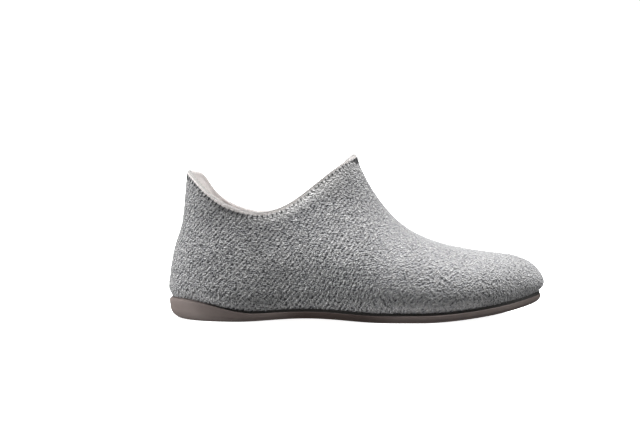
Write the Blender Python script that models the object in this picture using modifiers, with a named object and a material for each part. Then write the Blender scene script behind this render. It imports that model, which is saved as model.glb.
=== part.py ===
"""House slipper for the right foot: felted wool upper, rubber sole with a heel cup, and insole.

The slipper stands on its sole at z = 0. +X runs to the toe, +Y to the inner side of the foot and
+Z up. Sizes are in millimetres, and a mesh is made in metres from them.

The last is drawn as columns around the foot. A column starts at the girth line, the widest line
around the foot. Below it the wall tucks in to the sole. Above it the wall climbs to the collar,
or ahead of the throat over the vamp to its ridge, where the outer and inner columns meet.
"""

import math
from collections import namedtuple

import bmesh
import bpy
import numpy as np

MM = 0.001  # one millimetre in metres

# Driving dimensions of the last
LENGTH = 256.0  # heel bulge to toe tip
BALL_WIDTH = 93.0  # girth line, outer ball joint to inner ball joint
INSTEP_HEIGHT = 112.2  # peak of the throat above the floor
HEEL_HEIGHT = 101.2  # back of the collar above the floor
TOE_SWING = 8.0  # how far the toe tip lies to the inner side
THROAT = 0.497  # station of the throat's peak, as a share of the length from the heel

# Walls and clearances
WALL = 3.0  # wool felt with its lining
GAP = 0.3  # between pieces that meet
INSOLE_THICKNESS = 4.5
EDGE_STEP = 0.6  # least height of a step in the insole's edge

# Sole, heights above the floor
SOLE_THICKNESS = 6.0  # underside to the seat of the upper
LIP_WIDTH = 1.6  # wall of rubber outside the upper
LIP_RISE = 0.8  # lip above the seat all round
CUP_RISE = 8.4  # what the lip gains at the back of the heel
CUP_START, CUP_END = 0.245, 0.02  # stations between which the heel cup rises
ARCH_RISE = 2.5
ARCH_START, ARCH_END = 0.17, 0.575  # stations of the arch
TOE_SPRING = 11.5
SPRING_START = 0.67
SPRING_POWER = 1.62
GROOVE_DEPTH = 0.8  # the step under the lip's top edge
SHOULDER = 0.5  # soft edge below that step

# The fan of columns at each end: how far a column's foot on the axis is drawn from its end
HEEL_PULL, HEEL_FAN = 36.0, 0.27
TOE_PULL = 30.0
LEAN_FADE = 0.16  # length of the stretch behind the throat where the wall's lean fades

# Mesh density
REAR_COLUMNS, FRONT_COLUMNS = 24, 20  # a side
THROAT_CROWDING = 1.35  # above 1, columns crowd towards the throat
TUCK_ROWS, WALL_ROWS = 3, 13
ROUND_ROWS = 4

# The girth line from above: half widths as shares of the ball width
Plan = namedtuple("Plan", "station outer inner")
PLAN = (
    Plan(0.035, 0.210, 0.210),
    Plan(0.120, 0.350, 0.350),
    Plan(0.280, 0.393, 0.371),
    Plan(0.450, 0.441, 0.377),
    Plan(0.620, 0.4995, 0.452),
    Plan(0.750, 0.473, 0.500),
    Plan(0.880, 0.350, 0.457),
    Plan(0.960, 0.151, 0.333),
)

# Sections along the foot: girth line above the seat, and how full the section is to side and crown
Section = namedtuple("Section", "station rise side crown")
SECTIONS = (
    Section(0.00, 17.0, 2.0, 1.7),
    Section(0.12, 14.5, 2.0, 1.7),
    Section(0.30, 13.0, 1.9, 1.6),
    Section(0.50, 16.0, 1.5, 1.55),
    Section(0.70, 12.0, 2.0, 1.9),
    Section(0.90, 9.0, 2.3, 2.1),
    Section(1.00, 7.0, 2.4, 2.2),
)

# Ridge of the vamp from the side, as shares of the instep height. The last row is the crown that
# the toe would have if it were not rounded off
Ridge = namedtuple("Ridge", "station height")
VAMP = (
    Ridge(THROAT, 1.0),
    Ridge(0.520, 0.881),
    Ridge(0.556, 0.741),
    Ridge(0.611, 0.596),
    Ridge(0.692, 0.485),
    Ridge(0.777, 0.430),
    Ridge(0.883, 0.396),
    Ridge(1.000, 0.374),
)

# Collar from the side, as shares of the instep height
Collar = namedtuple("Collar", "station outer inner")
COLLAR = (
    Collar(0.050, HEEL_HEIGHT / INSTEP_HEIGHT, HEEL_HEIGHT / INSTEP_HEIGHT),
    Collar(0.080, 0.836, 0.868),
    Collar(0.113, 0.768, 0.784),
    Collar(0.187, 0.675, 0.672),
    Collar(0.252, 0.650, 0.641),
    Collar(0.324, 0.705, 0.698),
    Collar(0.408, 0.852, 0.848),
    Collar(THROAT, 1.0, 1.0),
)

# Lean of the wall behind the throat: how far it stands in from the girth line, at heights that are
# shares of the heel height
Lean = namedtuple("Lean", "height heel side")
LEAN = (
    Lean(0.23, 0.0, 0.0),
    Lean(0.42, 2.4, 1.2),
    Lean(0.52, 4.7, 2.4),
    Lean(0.62, 7.7, 3.7),
    Lean(0.74, 9.4, 4.8),
    Lean(1.00, 11.6, 6.0),
)

# Pinch of the instep: how much narrower the last gets between two heights above its flank, as a
# share of its width
PINCH_LOW, PINCH_HIGH = 34.0, 90.0
Pinch = namedtuple("Pinch", "station share")
PINCH = (
    Pinch(0.00, 0.0),
    Pinch(0.18, 0.0),
    Pinch(0.30, 0.10),
    Pinch(0.40, 0.28),
    Pinch(0.50, 0.38),
    Pinch(0.58, 0.26),
    Pinch(0.70, 0.0),
    Pinch(1.00, 0.0),
)

# Edge of the sole: how far it stands in from the girth line, height of the groove under the lip,
# and the rounding of the bottom edge, inwards and upwards
Edge = namedtuple("Edge", "station inset groove round_in round_up")
EDGE = (
    Edge(0.00, 0.8, 0.6, 10.0, 8.5),
    Edge(0.12, 1.0, 1.0, 5.0, 4.5),
    Edge(0.30, 1.3, 1.8, 4.0, 2.8),
    Edge(0.70, 1.3, 1.8, 4.0, 2.8),
    Edge(0.90, 1.2, 1.8, 4.0, 2.9),
    Edge(1.00, 0.9, 1.8, 4.5, 3.6),
)

Finish = namedtuple("Finish", "colour roughness")
FINISHES = {
    "upper": Finish((0.30, 0.30, 0.31), 0.95),
    "outsole": Finish((0.155, 0.138, 0.132), 0.6),
    "insole": Finish((0.68, 0.64, 0.62), 0.95),
}


class Spline:
    """A cubic through a table's values with no jump in its bend, straight beyond an open end."""

    def __init__(self, at, values, closed=False):
        self.at = np.asarray(at, float)
        self.values = np.asarray(values, float)
        count = len(self.values)
        step = np.diff(self.at)
        rate = np.diff(self.values, axis=0) / (step[:, None] if self.values.ndim > 1 else step)
        system = np.zeros((count, count))
        right = np.zeros_like(self.values)
        for i in range(count):
            if 0 < i < count - 1:
                system[i, i - 1 : i + 2] = step[i], 2 * (step[i - 1] + step[i]), step[i - 1]
                right[i] = 3 * (step[i] * rate[i - 1] + step[i - 1] * rate[i])
            elif closed:
                system[i, [0, 1, -2, -1]] = 2 * step[-1], step[-1], step[0], 2 * step[0]
                right[i] = 3 * (step[-1] * rate[0] + step[0] * rate[-1])
            else:
                system[i, [i, 1 if i == 0 else i - 1]] = 2, 1
                right[i] = 3 * rate[0 if i == 0 else -1]
        if closed:
            system[-1] = 0
            system[-1, [0, -1]] = 1, -1
            right[-1] = 0
        self.slope = np.linalg.solve(system, right)

    def __call__(self, x):
        if x <= self.at[0]:
            return self.values[0] + (x - self.at[0]) * self.slope[0]
        if x >= self.at[-1]:
            return self.values[-1] + (x - self.at[-1]) * self.slope[-1]
        i = int(np.searchsorted(self.at, x)) - 1
        step = self.at[i + 1] - self.at[i]
        t = (x - self.at[i]) / step
        return (
            (1 + 2 * t) * (1 - t) ** 2 * self.values[i]
            + t * (1 - t) ** 2 * step * self.slope[i]
            + t * t * (3 - 2 * t) * self.values[i + 1]
            + t * t * (t - 1) * step * self.slope[i + 1]
        )


def table_curve(rows, column, scale=1.0):
    """The smooth curve of one column of a table against the table's first column."""
    return Spline([row[0] for row in rows], [getattr(row, column) * scale for row in rows])


def station_of(x):
    """Share of the length from the back of the heel to x."""
    return x / LENGTH + 0.5


def x_of(station):
    """The x of a station."""
    return (station - 0.5) * LENGTH


def smoothstep(start, end, x):
    """0 before start, 1 after end, with a soft rise between. start may lie beyond end."""
    t = min(1.0, max(0.0, (x - start) / (end - start)))
    return t * t * (3 - 2 * t)


section_rise = table_curve(SECTIONS, "rise")
section_side = table_curve(SECTIONS, "side")
section_crown = table_curve(SECTIONS, "crown")
ridge_height = table_curve(VAMP, "height", INSTEP_HEIGHT)
collar_height = {side: table_curve(COLLAR, side, INSTEP_HEIGHT) for side in ("outer", "inner")}
lean_heel = table_curve(LEAN, "heel")
lean_side = table_curve(LEAN, "side")
pinch_share = table_curve(PINCH, "share")
edge_inset = table_curve(EDGE, "inset")
edge_groove = table_curve(EDGE, "groove")
edge_round_in = table_curve(EDGE, "round_in")
edge_round_up = table_curve(EDGE, "round_up")


def underside(x):
    """Height of the sole's bottom: flat at heel and forefoot, an arch between, spring at the toe."""
    station = station_of(x)
    across = (station - ARCH_START) / (ARCH_END - ARCH_START)
    arch = ARCH_RISE * math.sin(math.pi * min(1.0, max(0.0, across))) ** 2
    along = max(0.0, (station - SPRING_START) / (1 - SPRING_START))
    return arch + TOE_SPRING * along**SPRING_POWER


def seat(x):
    """Height of the sole's top face, where upper and insole sit."""
    return underside(x) + SOLE_THICKNESS


def lip_top(x):
    """Height of the sole's edge, which rises into a cup behind the heel."""
    return seat(x) + LIP_RISE + CUP_RISE * smoothstep(CUP_START, CUP_END, station_of(x))


class Column:
    """One vertical profile of the last, on its outer or inner side."""

    def __init__(self, girth, along, axis, side, ahead):
        self.girth = girth  # its point on the girth line, seen from above
        self.axis = axis  # the point on the foot's axis that it leans to
        self.side = side
        self.ahead = ahead  # True ahead of the throat, where it ends at the ridge
        self.inward = np.array((-along[1], along[0])) / np.linalg.norm(along)
        self.station = station_of(girth[0])
        self.girth_height = seat(girth[0]) + section_rise(self.station)
        self.edge = edge_inset(self.station)
        self.tuck = self.edge + LIP_WIDTH + GAP

    def at_inset(self, inset, height):
        """The point that lies inset from the girth line, at a height."""
        x, y = self.girth + self.inward * inset
        return np.array((x, y, height))

    def tuck_line(self):
        """The wall's outside below the girth line, as rows of inset and height from the bottom up."""
        lip = lip_top(self.girth[0])
        rows = [(self.tuck, seat(self.girth[0]) + GAP)]
        for row in range(TUCK_ROWS + 1):
            share = row / TUCK_ROWS
            rows.append((self.tuck * (1 - share) ** 2, lip + (self.girth_height - lip) * share))
        return np.array(rows)

    def inside_line(self, depth):
        """The tuck line moved in by a depth, with its corners kept."""
        line = self.tuck_line()
        run = np.diff(line, axis=0)
        normal = np.stack((run[:, 1], -run[:, 0]), axis=1) / np.linalg.norm(run, axis=1)[:, None]
        before, after = np.vstack((normal[:1], normal)), np.vstack((normal, normal[-1:]))
        reach = depth / (1 + np.sum(before * after, axis=1))
        return line + (before + after) * reach[:, None]

    def wall(self, angle):
        """The point above the girth line at an angle from 0, the girth line, to a quarter turn."""
        across = max(0.0, math.cos(angle)) ** (2 / section_side(self.station))
        up = math.sin(angle) ** (2 / section_crown(self.station))
        plan = self.axis + (self.girth - self.axis) * across
        height = self.girth_height + (ridge_height(station_of(plan[0])) - self.girth_height) * up
        pinch = max(0.0, pinch_share(self.station)) * smoothstep(PINCH_LOW, PINCH_HIGH, height)
        plan = self.axis + (plan - self.axis) * (1 - pinch)
        toward_heel = self.inward[0] ** 2
        share = height / HEEL_HEIGHT
        lean = toward_heel * lean_heel(share) + (1 - toward_heel) * lean_side(share)
        lean *= smoothstep(THROAT, THROAT - LEAN_FADE, self.station)
        x, y = plan + self.inward * max(0.0, lean)
        return np.array((x, y, height))

    def top_angle(self):
        """The wall's angle at the collar, or a quarter turn where the column ends at the ridge."""
        low, high = 0.0, math.pi / 2
        if self.ahead:
            return high
        for _ in range(40):
            middle = (low + high) / 2
            point = self.wall(middle)
            if point[2] < collar_height[self.side](station_of(point[0])):
                low = middle
            else:
                high = middle
        return low


def girth_line():
    """The girth line as two curves, outer and inner, each from heel (0) to toe (1)."""
    outer = [(x_of(row.station), -row.outer * BALL_WIDTH) for row in PLAN]
    inner = [(x_of(row.station), row.inner * BALL_WIDTH) for row in PLAN]
    heel, toe = (x_of(0.0), 0.0), (x_of(1.0), TOE_SWING)
    knots = np.array([heel, *outer, toe, *inner[::-1], heel])
    at = np.concatenate([[0.0], np.cumsum(np.linalg.norm(np.diff(knots, axis=0), axis=1))])
    loop = Spline(at, knots, closed=True)
    tip = at[len(outer) + 1]
    return {"outer": lambda u: loop(u * tip), "inner": lambda u: loop(at[-1] - u * (at[-1] - tip))}


def axis_point(x):
    """The point on the foot's axis for columns at x, drawn in from both ends so that they fan."""
    station = station_of(x)
    toward_toe = max(0.0, (station - THROAT) / (1 - THROAT))
    toward_heel = max(0.0, (HEEL_FAN - station) / HEEL_FAN)
    x += HEEL_PULL * toward_heel**2 - TOE_PULL * toward_toe**2
    return np.array((x, TOE_SWING * station_of(x) ** 2))


def make_columns():
    """Columns all round: outer side from heel to toe, then the inner side back to the heel."""
    line = girth_line()

    def middle_x(u):
        return (line["outer"](u)[0] + line["inner"](u)[0]) / 2

    low, high = 0.0, 1.0
    for _ in range(40):
        throat_u = (low + high) / 2
        low, high = (throat_u, high) if middle_x(throat_u) < x_of(THROAT) else (low, throat_u)

    rear = [throat_u * (1 - (1 - k / REAR_COLUMNS) ** THROAT_CROWDING) for k in range(REAR_COLUMNS)]
    front = [throat_u + (1 - throat_u) * k / FRONT_COLUMNS for k in range(FRONT_COLUMNS + 1)]
    spots = [(u, "outer") for u in rear + front] + [(u, "inner") for u in (rear + front)[-2:0:-1]]
    girth = np.array([line[side](u) for u, side in spots])
    along = np.roll(girth, -1, axis=0) - np.roll(girth, 1, axis=0)
    return [
        Column(girth[i], along[i], axis_point(middle_x(u)), side, u >= throat_u)
        for i, (u, side) in enumerate(spots)
    ]


def upper_profile(column):
    """Outside of the upper, from its bottom edge on the sole's seat to the collar or ridge."""
    points = [column.at_inset(inset, height) for inset, height in column.tuck_line()[:-1]]
    top = column.top_angle()
    points += [column.wall(top * row / WALL_ROWS) for row in range(WALL_ROWS + 1)]
    return points


def across_to_axis(column, edge, height_at, shares):
    """Points from the foot's axis out to an edge point, at the heights of a face."""
    points = []
    for share in shares:
        x, y = column.axis + (edge[:2] - column.axis) * share
        points.append(np.array((x, y, height_at(x))))
    return points


def outsole_profile(column):
    """The sole, from the axis on its seat, out over the lip, down its side and back underneath."""
    x = column.girth[0]
    top = lip_top(x)
    groove = edge_groove(column.station)
    inner = column.edge + LIP_WIDTH
    round_in, round_up = edge_round_in(column.station), edge_round_up(column.station)
    seat_edge = column.at_inset(inner, seat(x))
    points = across_to_axis(column, seat_edge, seat, (0.0, 0.4, 0.75))
    points += [
        seat_edge,
        column.at_inset(inner, top),
        column.at_inset(column.edge + GROOVE_DEPTH, top),
        column.at_inset(column.edge + GROOVE_DEPTH, top - groove),
        column.at_inset(column.edge + SHOULDER, top - groove),
        column.at_inset(column.edge, top - groove - SHOULDER),
    ]
    bottom = []
    for row in range(ROUND_ROWS + 1):
        turn = math.pi / 2 * row / ROUND_ROWS
        point = column.at_inset(column.edge + round_in * (1 - math.cos(turn)), 0.0)
        point[2] = underside(point[0]) + round_up * (1 - math.sin(turn))
        bottom.append(point)
    return points + bottom + across_to_axis(column, bottom[-1], underside, (0.7, 0.35, 0.0))


def insole_profile(column):
    """The insole, from the axis underneath, out to the upper's inner wall and back on top."""

    def bottom_at(x):
        return seat(x) + GAP

    def top_at(x):
        return seat(x) + GAP + INSOLE_THICKNESS

    inset, height = column.inside_line(WALL + GAP).T
    low, high = bottom_at(column.girth[0]), top_at(column.girth[0])
    middle = min(max(height[1], low + EDGE_STEP), high - EDGE_STEP)
    edge = [column.at_inset(np.interp(z, height, inset), z) for z in (low, middle, high)]
    return (
        across_to_axis(column, edge[0], bottom_at, (0.0, 0.5))
        + edge
        + across_to_axis(column, edge[-1], top_at, (0.66, 0.33, 0.0))
    )


def loft(name, columns, profile, collection):
    """A named object whose surface runs through every column's profile, all round the foot."""
    mesh = bpy.data.meshes.new(name)
    work = bmesh.new()
    rings = [[work.verts.new(point * MM) for point in profile(column)] for column in columns]
    for ring, after in zip(rings, rings[1:] + rings[:1]):
        for row in range(len(ring) - 1):
            work.faces.new((ring[row], after[row], after[row + 1], ring[row + 1]))
    bmesh.ops.remove_doubles(work, verts=work.verts, dist=1e-6)
    bmesh.ops.recalc_face_normals(work, faces=work.faces)
    work.to_mesh(mesh)
    work.free()
    mesh.shade_smooth()
    mesh.set_sharp_from_angle(angle=math.radians(35))
    part = bpy.data.objects.new(name, mesh)
    collection.objects.link(part)
    finish = FINISHES[name]
    material = bpy.data.materials.new(name)
    material.use_nodes = True
    shader = material.node_tree.nodes["Principled BSDF"]
    shader.inputs["Base Color"].default_value = (*finish.colour, 1.0)
    shader.inputs["Roughness"].default_value = finish.roughness
    mesh.materials.append(material)
    return part


def main():
    for old in list(bpy.data.objects):
        bpy.data.objects.remove(old)
    slipper = bpy.data.collections.new("house_slipper")
    bpy.context.scene.collection.children.link(slipper)
    columns = make_columns()
    loft("outsole", columns, outsole_profile, slipper)
    loft("insole", columns, insole_profile, slipper)
    upper = loft("upper", columns, upper_profile, slipper)
    felt = upper.modifiers.new("felt", "SOLIDIFY")
    felt.thickness = WALL * MM
    felt.offset = -1.0
    felt.use_even_offset = True


main()
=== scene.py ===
"""Dressed house slipper for the right foot: twilled wool upper, soft lining, rubber sole, insole.

The slipper stands in the CAD frame: +X runs to the toe, +Y to the inner side of the foot and +Z
up. The last is the one that the part's source draws. Its sizes are in millimetres, and a mesh is
made in metres from them.

The last is a ring of columns around the foot. A column starts at the girth line, the widest line
around the foot. Below it the wall tucks in to the sole. Above it the wall climbs to the collar,
or ahead of the throat over the vamp to its ridge, where the outer and inner columns meet.
"""

import logging
import math
from collections.abc import Sequence
from dataclasses import dataclass, field
from enum import Enum
from typing import ClassVar, NamedTuple

import bmesh
import bpy
import numpy as np
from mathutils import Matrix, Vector

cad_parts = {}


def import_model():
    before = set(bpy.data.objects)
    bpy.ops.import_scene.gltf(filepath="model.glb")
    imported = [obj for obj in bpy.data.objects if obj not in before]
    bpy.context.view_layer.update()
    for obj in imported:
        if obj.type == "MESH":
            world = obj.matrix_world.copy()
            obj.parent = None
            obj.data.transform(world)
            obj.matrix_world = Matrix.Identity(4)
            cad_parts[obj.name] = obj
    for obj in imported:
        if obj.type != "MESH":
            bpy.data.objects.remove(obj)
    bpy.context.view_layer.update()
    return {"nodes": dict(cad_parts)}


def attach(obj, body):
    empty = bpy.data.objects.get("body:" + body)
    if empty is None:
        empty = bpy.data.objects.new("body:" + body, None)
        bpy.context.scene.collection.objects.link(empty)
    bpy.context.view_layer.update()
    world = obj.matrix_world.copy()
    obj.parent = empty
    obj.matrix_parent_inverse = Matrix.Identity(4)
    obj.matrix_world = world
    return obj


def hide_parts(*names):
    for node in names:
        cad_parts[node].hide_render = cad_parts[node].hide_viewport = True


MM = 0.001  # one millimetre in metres
TURN = 2 * math.pi
HALVINGS = 40  # steps of a search by halves
WELD = 2e-6  # points closer than this are one, in metres

log = logging.getLogger("slipper")

Socket = bpy.types.NodeSocket
Shade = tuple[float, float, float]
Span = tuple[float, float]  # two numbers, such as where a soft change starts and ends
Table = tuple[tuple[float, float], ...]  # rows of a place and the value there


class Plan(NamedTuple):
    """Half widths of the girth line at a station, as shares of the ball width."""

    station: float
    outer: float
    inner: float


class Section(NamedTuple):
    """Girth line above the seat at a station, and how full the section is to side and crown."""

    station: float
    rise: float
    side: float
    crown: float


class Ridge(NamedTuple):
    """Ridge of the vamp at a station, as a share of the instep height."""

    station: float
    height: float


class Collar(NamedTuple):
    """Collar at a station, as shares of the instep height."""

    station: float
    outer: float
    inner: float


class Lean(NamedTuple):
    """How far the wall stands in at a height, which is a share of the heel height."""

    height: float
    heel: float
    side: float


class Pinch(NamedTuple):
    """How much narrower the last gets above its flank at a station, as a share of its width."""

    station: float
    share: float


class Edge(NamedTuple):
    """Sole's edge at a station: inset, height of the groove, rounding inwards and upwards."""

    station: float
    inset: float
    groove: float
    round_in: float
    round_up: float


class Crease(NamedTuple):
    """A soft trough or ridge in the outer side's wool: its ends, width and height, in mm."""

    start: Span
    end: Span
    width: float
    height: float


class Stand(NamedTuple):
    """Where the collar stands a little higher than on the last, in mm: its x, width and rises."""

    x: float
    width: float
    outer: float
    inner: float


def soft_step(start: float, end: float, x: np.ndarray) -> np.ndarray:
    """0 before start and 1 after end, with a soft rise between; start may lie beyond end."""
    t = np.clip((np.asarray(x, float) - start) / (end - start), 0.0, 1.0)
    return t * t * (3 - 2 * t)


def unit(vectors: np.ndarray) -> np.ndarray:
    """Vectors at a length of one."""
    return vectors / np.maximum(np.linalg.norm(vectors, axis=-1, keepdims=True), 1e-12)


def read_table(table: Table, x: np.ndarray) -> np.ndarray:
    """A table's second column at x, in straight runs between its rows."""
    where, values = zip(*table)
    return np.interp(x, where, values)


def distance_along(points: np.ndarray) -> np.ndarray:
    """Distance along lines of points, each from nought; a line runs on the last axis but one."""
    run = np.cumsum(np.linalg.norm(np.diff(points, axis=-2), axis=-1), axis=-1)
    return np.concatenate((np.zeros((*run.shape[:-1], 1)), run), axis=-1)


class Curve:
    """A cubic through a table's values with no jump in its bend, straight beyond an open end."""

    def __init__(self, at: Sequence[float], values: Sequence, closed: bool = False) -> None:
        """Solves for the slope at each value.

        Args:
            at: where the values stand, rising.
            values: numbers, or points of one length.
            closed: True where the last value is the first again.
        """
        self.at = np.asarray(at, float)
        self.values = np.asarray(values, float)
        count = len(self.values)
        step = np.diff(self.at)
        rate = np.diff(self.values, axis=0) / (step[:, None] if self.values.ndim > 1 else step)
        system = np.zeros((count, count))
        right = np.zeros_like(self.values)
        for i in range(count):
            if 0 < i < count - 1:
                system[i, i - 1 : i + 2] = step[i], 2 * (step[i - 1] + step[i]), step[i - 1]
                right[i] = 3 * (step[i] * rate[i - 1] + step[i - 1] * rate[i])
            elif closed:
                system[i, [0, 1, -2, -1]] = 2 * step[-1], step[-1], step[0], 2 * step[0]
                right[i] = 3 * (step[-1] * rate[0] + step[0] * rate[-1])
            else:
                system[i, [i, 1 if i == 0 else i - 1]] = 2, 1
                right[i] = 3 * rate[0 if i == 0 else -1]
        if closed:
            system[-1] = 0
            system[-1, [0, -1]] = 1, -1
            right[-1] = 0
        self.slope = np.linalg.solve(system, right)

    def __call__(self, x: np.ndarray) -> np.ndarray:
        """The curve at x.

        Args:
            x: any array of places.

        Returns:
            The values there, with a last axis of coordinates where the table holds points.
        """
        x = np.asarray(x, float)
        i = np.clip(np.searchsorted(self.at, x, side="right") - 1, 0, len(self.at) - 2)
        step = self.at[i + 1] - self.at[i]
        t = np.clip((x - self.at[i]) / step, 0.0, 1.0)
        before = np.minimum(x - self.at[0], 0.0)
        beyond = np.maximum(x - self.at[-1], 0.0)
        if self.values.ndim > 1:
            step, t, before, beyond = (a[..., None] for a in (step, t, before, beyond))
        return (
            (1 + 2 * t) * (1 - t) ** 2 * self.values[i]
            + t * (1 - t) ** 2 * step * self.slope[i]
            + t * t * (3 - 2 * t) * self.values[i + 1]
            + t * t * (t - 1) * step * self.slope[i + 1]
            + before * self.slope[0]
            + beyond * self.slope[-1]
        )


class Lumps:
    """Smooth seeded noise over a flat pattern, for yarn that is never quite even."""

    SIDE = 64

    def __init__(self, seed: int, cell: float) -> None:
        """Draws the table of heights from a seed, for cells of a size in mm."""
        self.table = np.random.default_rng(seed).uniform(-1, 1, (self.SIDE, self.SIDE))
        self.cell = cell

    def __call__(self, flat: np.ndarray) -> np.ndarray:
        """The noise from -1 to 1 at points of the pattern, in mm."""
        spot = flat / self.cell
        low = np.floor(spot).astype(int)
        t = spot - low
        t = t * t * (3 - 2 * t)
        i, j = low[..., 0] % self.SIDE, low[..., 1] % self.SIDE
        k, m = (i + 1) % self.SIDE, (j + 1) % self.SIDE
        near = self.table[i, j] * (1 - t[..., 0]) + self.table[k, j] * t[..., 0]
        far = self.table[i, m] * (1 - t[..., 0]) + self.table[k, m] * t[..., 0]
        return near * (1 - t[..., 1]) + far * t[..., 1]


@dataclass
class Last:
    """The last that the slipper is made on, and the sole under it, in millimetres."""

    length: float = 256.0
    ball_width: float = 93.0
    instep_height: float = 112.2
    heel_height: float = 101.2
    toe_swing: float = 8.0
    throat: float = 0.497
    wall: float = 3.0
    gap: float = 0.3
    sole_thickness: float = 6.0
    lip_width: float = 1.6
    lip_rise: float = 0.8
    cup_rise: float = 8.4
    cup_start: float = 0.245
    cup_end: float = 0.02
    arch_rise: float = 2.5
    arch_start: float = 0.17
    arch_end: float = 0.575
    toe_spring: float = 11.5
    spring_start: float = 0.67
    spring_power: float = 1.62
    heel_pull: float = 36.0
    heel_fan: float = 0.27
    toe_pull: float = 30.0
    lean_fade: float = 0.16
    plan: tuple[Plan, ...] = (
        Plan(0.035, 0.210, 0.210),
        Plan(0.120, 0.350, 0.350),
        Plan(0.280, 0.393, 0.371),
        Plan(0.450, 0.441, 0.377),
        Plan(0.620, 0.4995, 0.452),
        Plan(0.750, 0.473, 0.500),
        Plan(0.880, 0.350, 0.457),
        Plan(0.960, 0.151, 0.333),
    )
    sections: tuple[Section, ...] = (
        Section(0.00, 17.0, 2.0, 1.7),
        Section(0.12, 14.5, 2.0, 1.7),
        Section(0.30, 13.0, 1.9, 1.6),
        Section(0.50, 16.0, 1.5, 1.55),
        Section(0.70, 12.0, 2.0, 1.9),
        Section(0.90, 9.0, 2.3, 2.1),
        Section(1.00, 7.0, 2.4, 2.2),
    )
    vamp: tuple[Ridge, ...] = (
        Ridge(throat, 1.0),
        Ridge(0.520, 0.881),
        Ridge(0.556, 0.741),
        Ridge(0.611, 0.596),
        Ridge(0.692, 0.485),
        Ridge(0.777, 0.430),
        Ridge(0.883, 0.396),
        Ridge(1.000, 0.374),
    )
    collar: tuple[Collar, ...] = (
        Collar(0.050, heel_height / instep_height, heel_height / instep_height),
        Collar(0.080, 0.836, 0.868),
        Collar(0.113, 0.768, 0.784),
        Collar(0.187, 0.675, 0.672),
        Collar(0.252, 0.650, 0.641),
        Collar(0.324, 0.705, 0.698),
        Collar(0.408, 0.852, 0.848),
        Collar(throat, 1.0, 1.0),
    )
    leans: tuple[Lean, ...] = (
        Lean(0.23, 0.0, 0.0),
        Lean(0.42, 2.4, 1.2),
        Lean(0.52, 4.7, 2.4),
        Lean(0.62, 7.7, 3.7),
        Lean(0.74, 9.4, 4.8),
        Lean(1.00, 11.6, 6.0),
    )
    pinches: tuple[Pinch, ...] = (
        Pinch(0.00, 0.0),
        Pinch(0.18, 0.0),
        Pinch(0.30, 0.10),
        Pinch(0.40, 0.28),
        Pinch(0.50, 0.38),
        Pinch(0.58, 0.26),
        Pinch(0.70, 0.0),
        Pinch(1.00, 0.0),
    )
    pinch_low: float = 34.0
    pinch_high: float = 90.0
    edges: tuple[Edge, ...] = (
        Edge(0.00, 0.8, 0.6, 10.0, 8.5),
        Edge(0.12, 1.0, 1.0, 5.0, 4.5),
        Edge(0.30, 1.3, 1.8, 4.0, 2.8),
        Edge(0.70, 1.3, 1.8, 4.0, 2.8),
        Edge(0.90, 1.2, 1.8, 4.0, 2.9),
        Edge(1.00, 0.9, 1.8, 4.5, 3.6),
    )
    rear_columns: int = 190
    front_columns: int = 190
    crowding: float = 1.35

    def __post_init__(self) -> None:
        """Draws the tables' curves and the girth line, and finds the throat on it."""

        def curve(rows: Sequence[NamedTuple], column: str, scale: float = 1.0) -> Curve:
            """The curve of one column of a table against its first column."""
            return Curve([r[0] for r in rows], [getattr(r, column) * scale for r in rows])

        self.rise = curve(self.sections, "rise")
        self.side = curve(self.sections, "side")
        self.crown = curve(self.sections, "crown")
        self.ridge = curve(self.vamp, "height", self.instep_height)
        self.collar_outer = curve(self.collar, "outer", self.instep_height)
        self.collar_inner = curve(self.collar, "inner", self.instep_height)
        self.lean_heel = curve(self.leans, "heel")
        self.lean_side = curve(self.leans, "side")
        self.pinch = curve(self.pinches, "share")
        self.edge = {name: curve(self.edges, name) for name in Edge._fields[1:]}

        outer = [(self.x_at(r.station), -r.outer * self.ball_width) for r in self.plan]
        inner = [(self.x_at(r.station), r.inner * self.ball_width) for r in self.plan]
        heel, toe = (self.x_at(0.0), 0.0), (self.x_at(1.0), self.toe_swing)
        knots = np.array([heel, *outer, toe, *inner[::-1], heel])
        at = distance_along(knots)
        self.loop = Curve(at, knots, closed=True)
        self.round_length = float(at[-1])
        self.tip = float(at[len(outer) + 1])

        low, high = 0.0, 1.0
        for _ in range(HALVINGS):
            middle = (low + high) / 2
            behind = self.middle_x(np.array([middle]))[0] < self.x_at(self.throat)
            low, high = (middle, high) if behind else (low, middle)
        self.throat_share = (low + high) / 2

    def x_at(self, station: float) -> float:
        """The x of a station, a share of the length from the heel."""
        return (station - 0.5) * self.length

    def station(self, x: np.ndarray) -> np.ndarray:
        """The station of x."""
        return x / self.length + 0.5

    def underside(self, x: np.ndarray) -> np.ndarray:
        """Height of the sole's bottom: an arch behind the ball and spring at the toe."""
        station = self.station(x)
        across = (station - self.arch_start) / (self.arch_end - self.arch_start)
        arch = self.arch_rise * np.sin(math.pi * np.clip(across, 0.0, 1.0)) ** 2
        along = np.maximum(0.0, (station - self.spring_start) / (1 - self.spring_start))
        return arch + self.toe_spring * along**self.spring_power

    def seat(self, x: np.ndarray) -> np.ndarray:
        """Height of the sole's top face, where upper and insole sit."""
        return self.underside(x) + self.sole_thickness

    def lip_top(self, x: np.ndarray) -> np.ndarray:
        """Height of the sole's edge, which rises into a cup behind the heel."""
        cup = soft_step(self.cup_start, self.cup_end, self.station(x))
        return self.seat(x) + self.lip_rise + self.cup_rise * cup

    def round_to(self, share: np.ndarray, inner: np.ndarray) -> np.ndarray:
        """Distance from the heel round by the outer side to a share of a side's length."""
        back = self.round_length - share * (self.round_length - self.tip)
        return np.where(inner, back, share * self.tip)

    def girth(self, share: np.ndarray, inner: np.ndarray) -> np.ndarray:
        """Points of the girth line from above, with a last axis of two."""
        return self.loop(self.round_to(share, inner))

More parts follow.
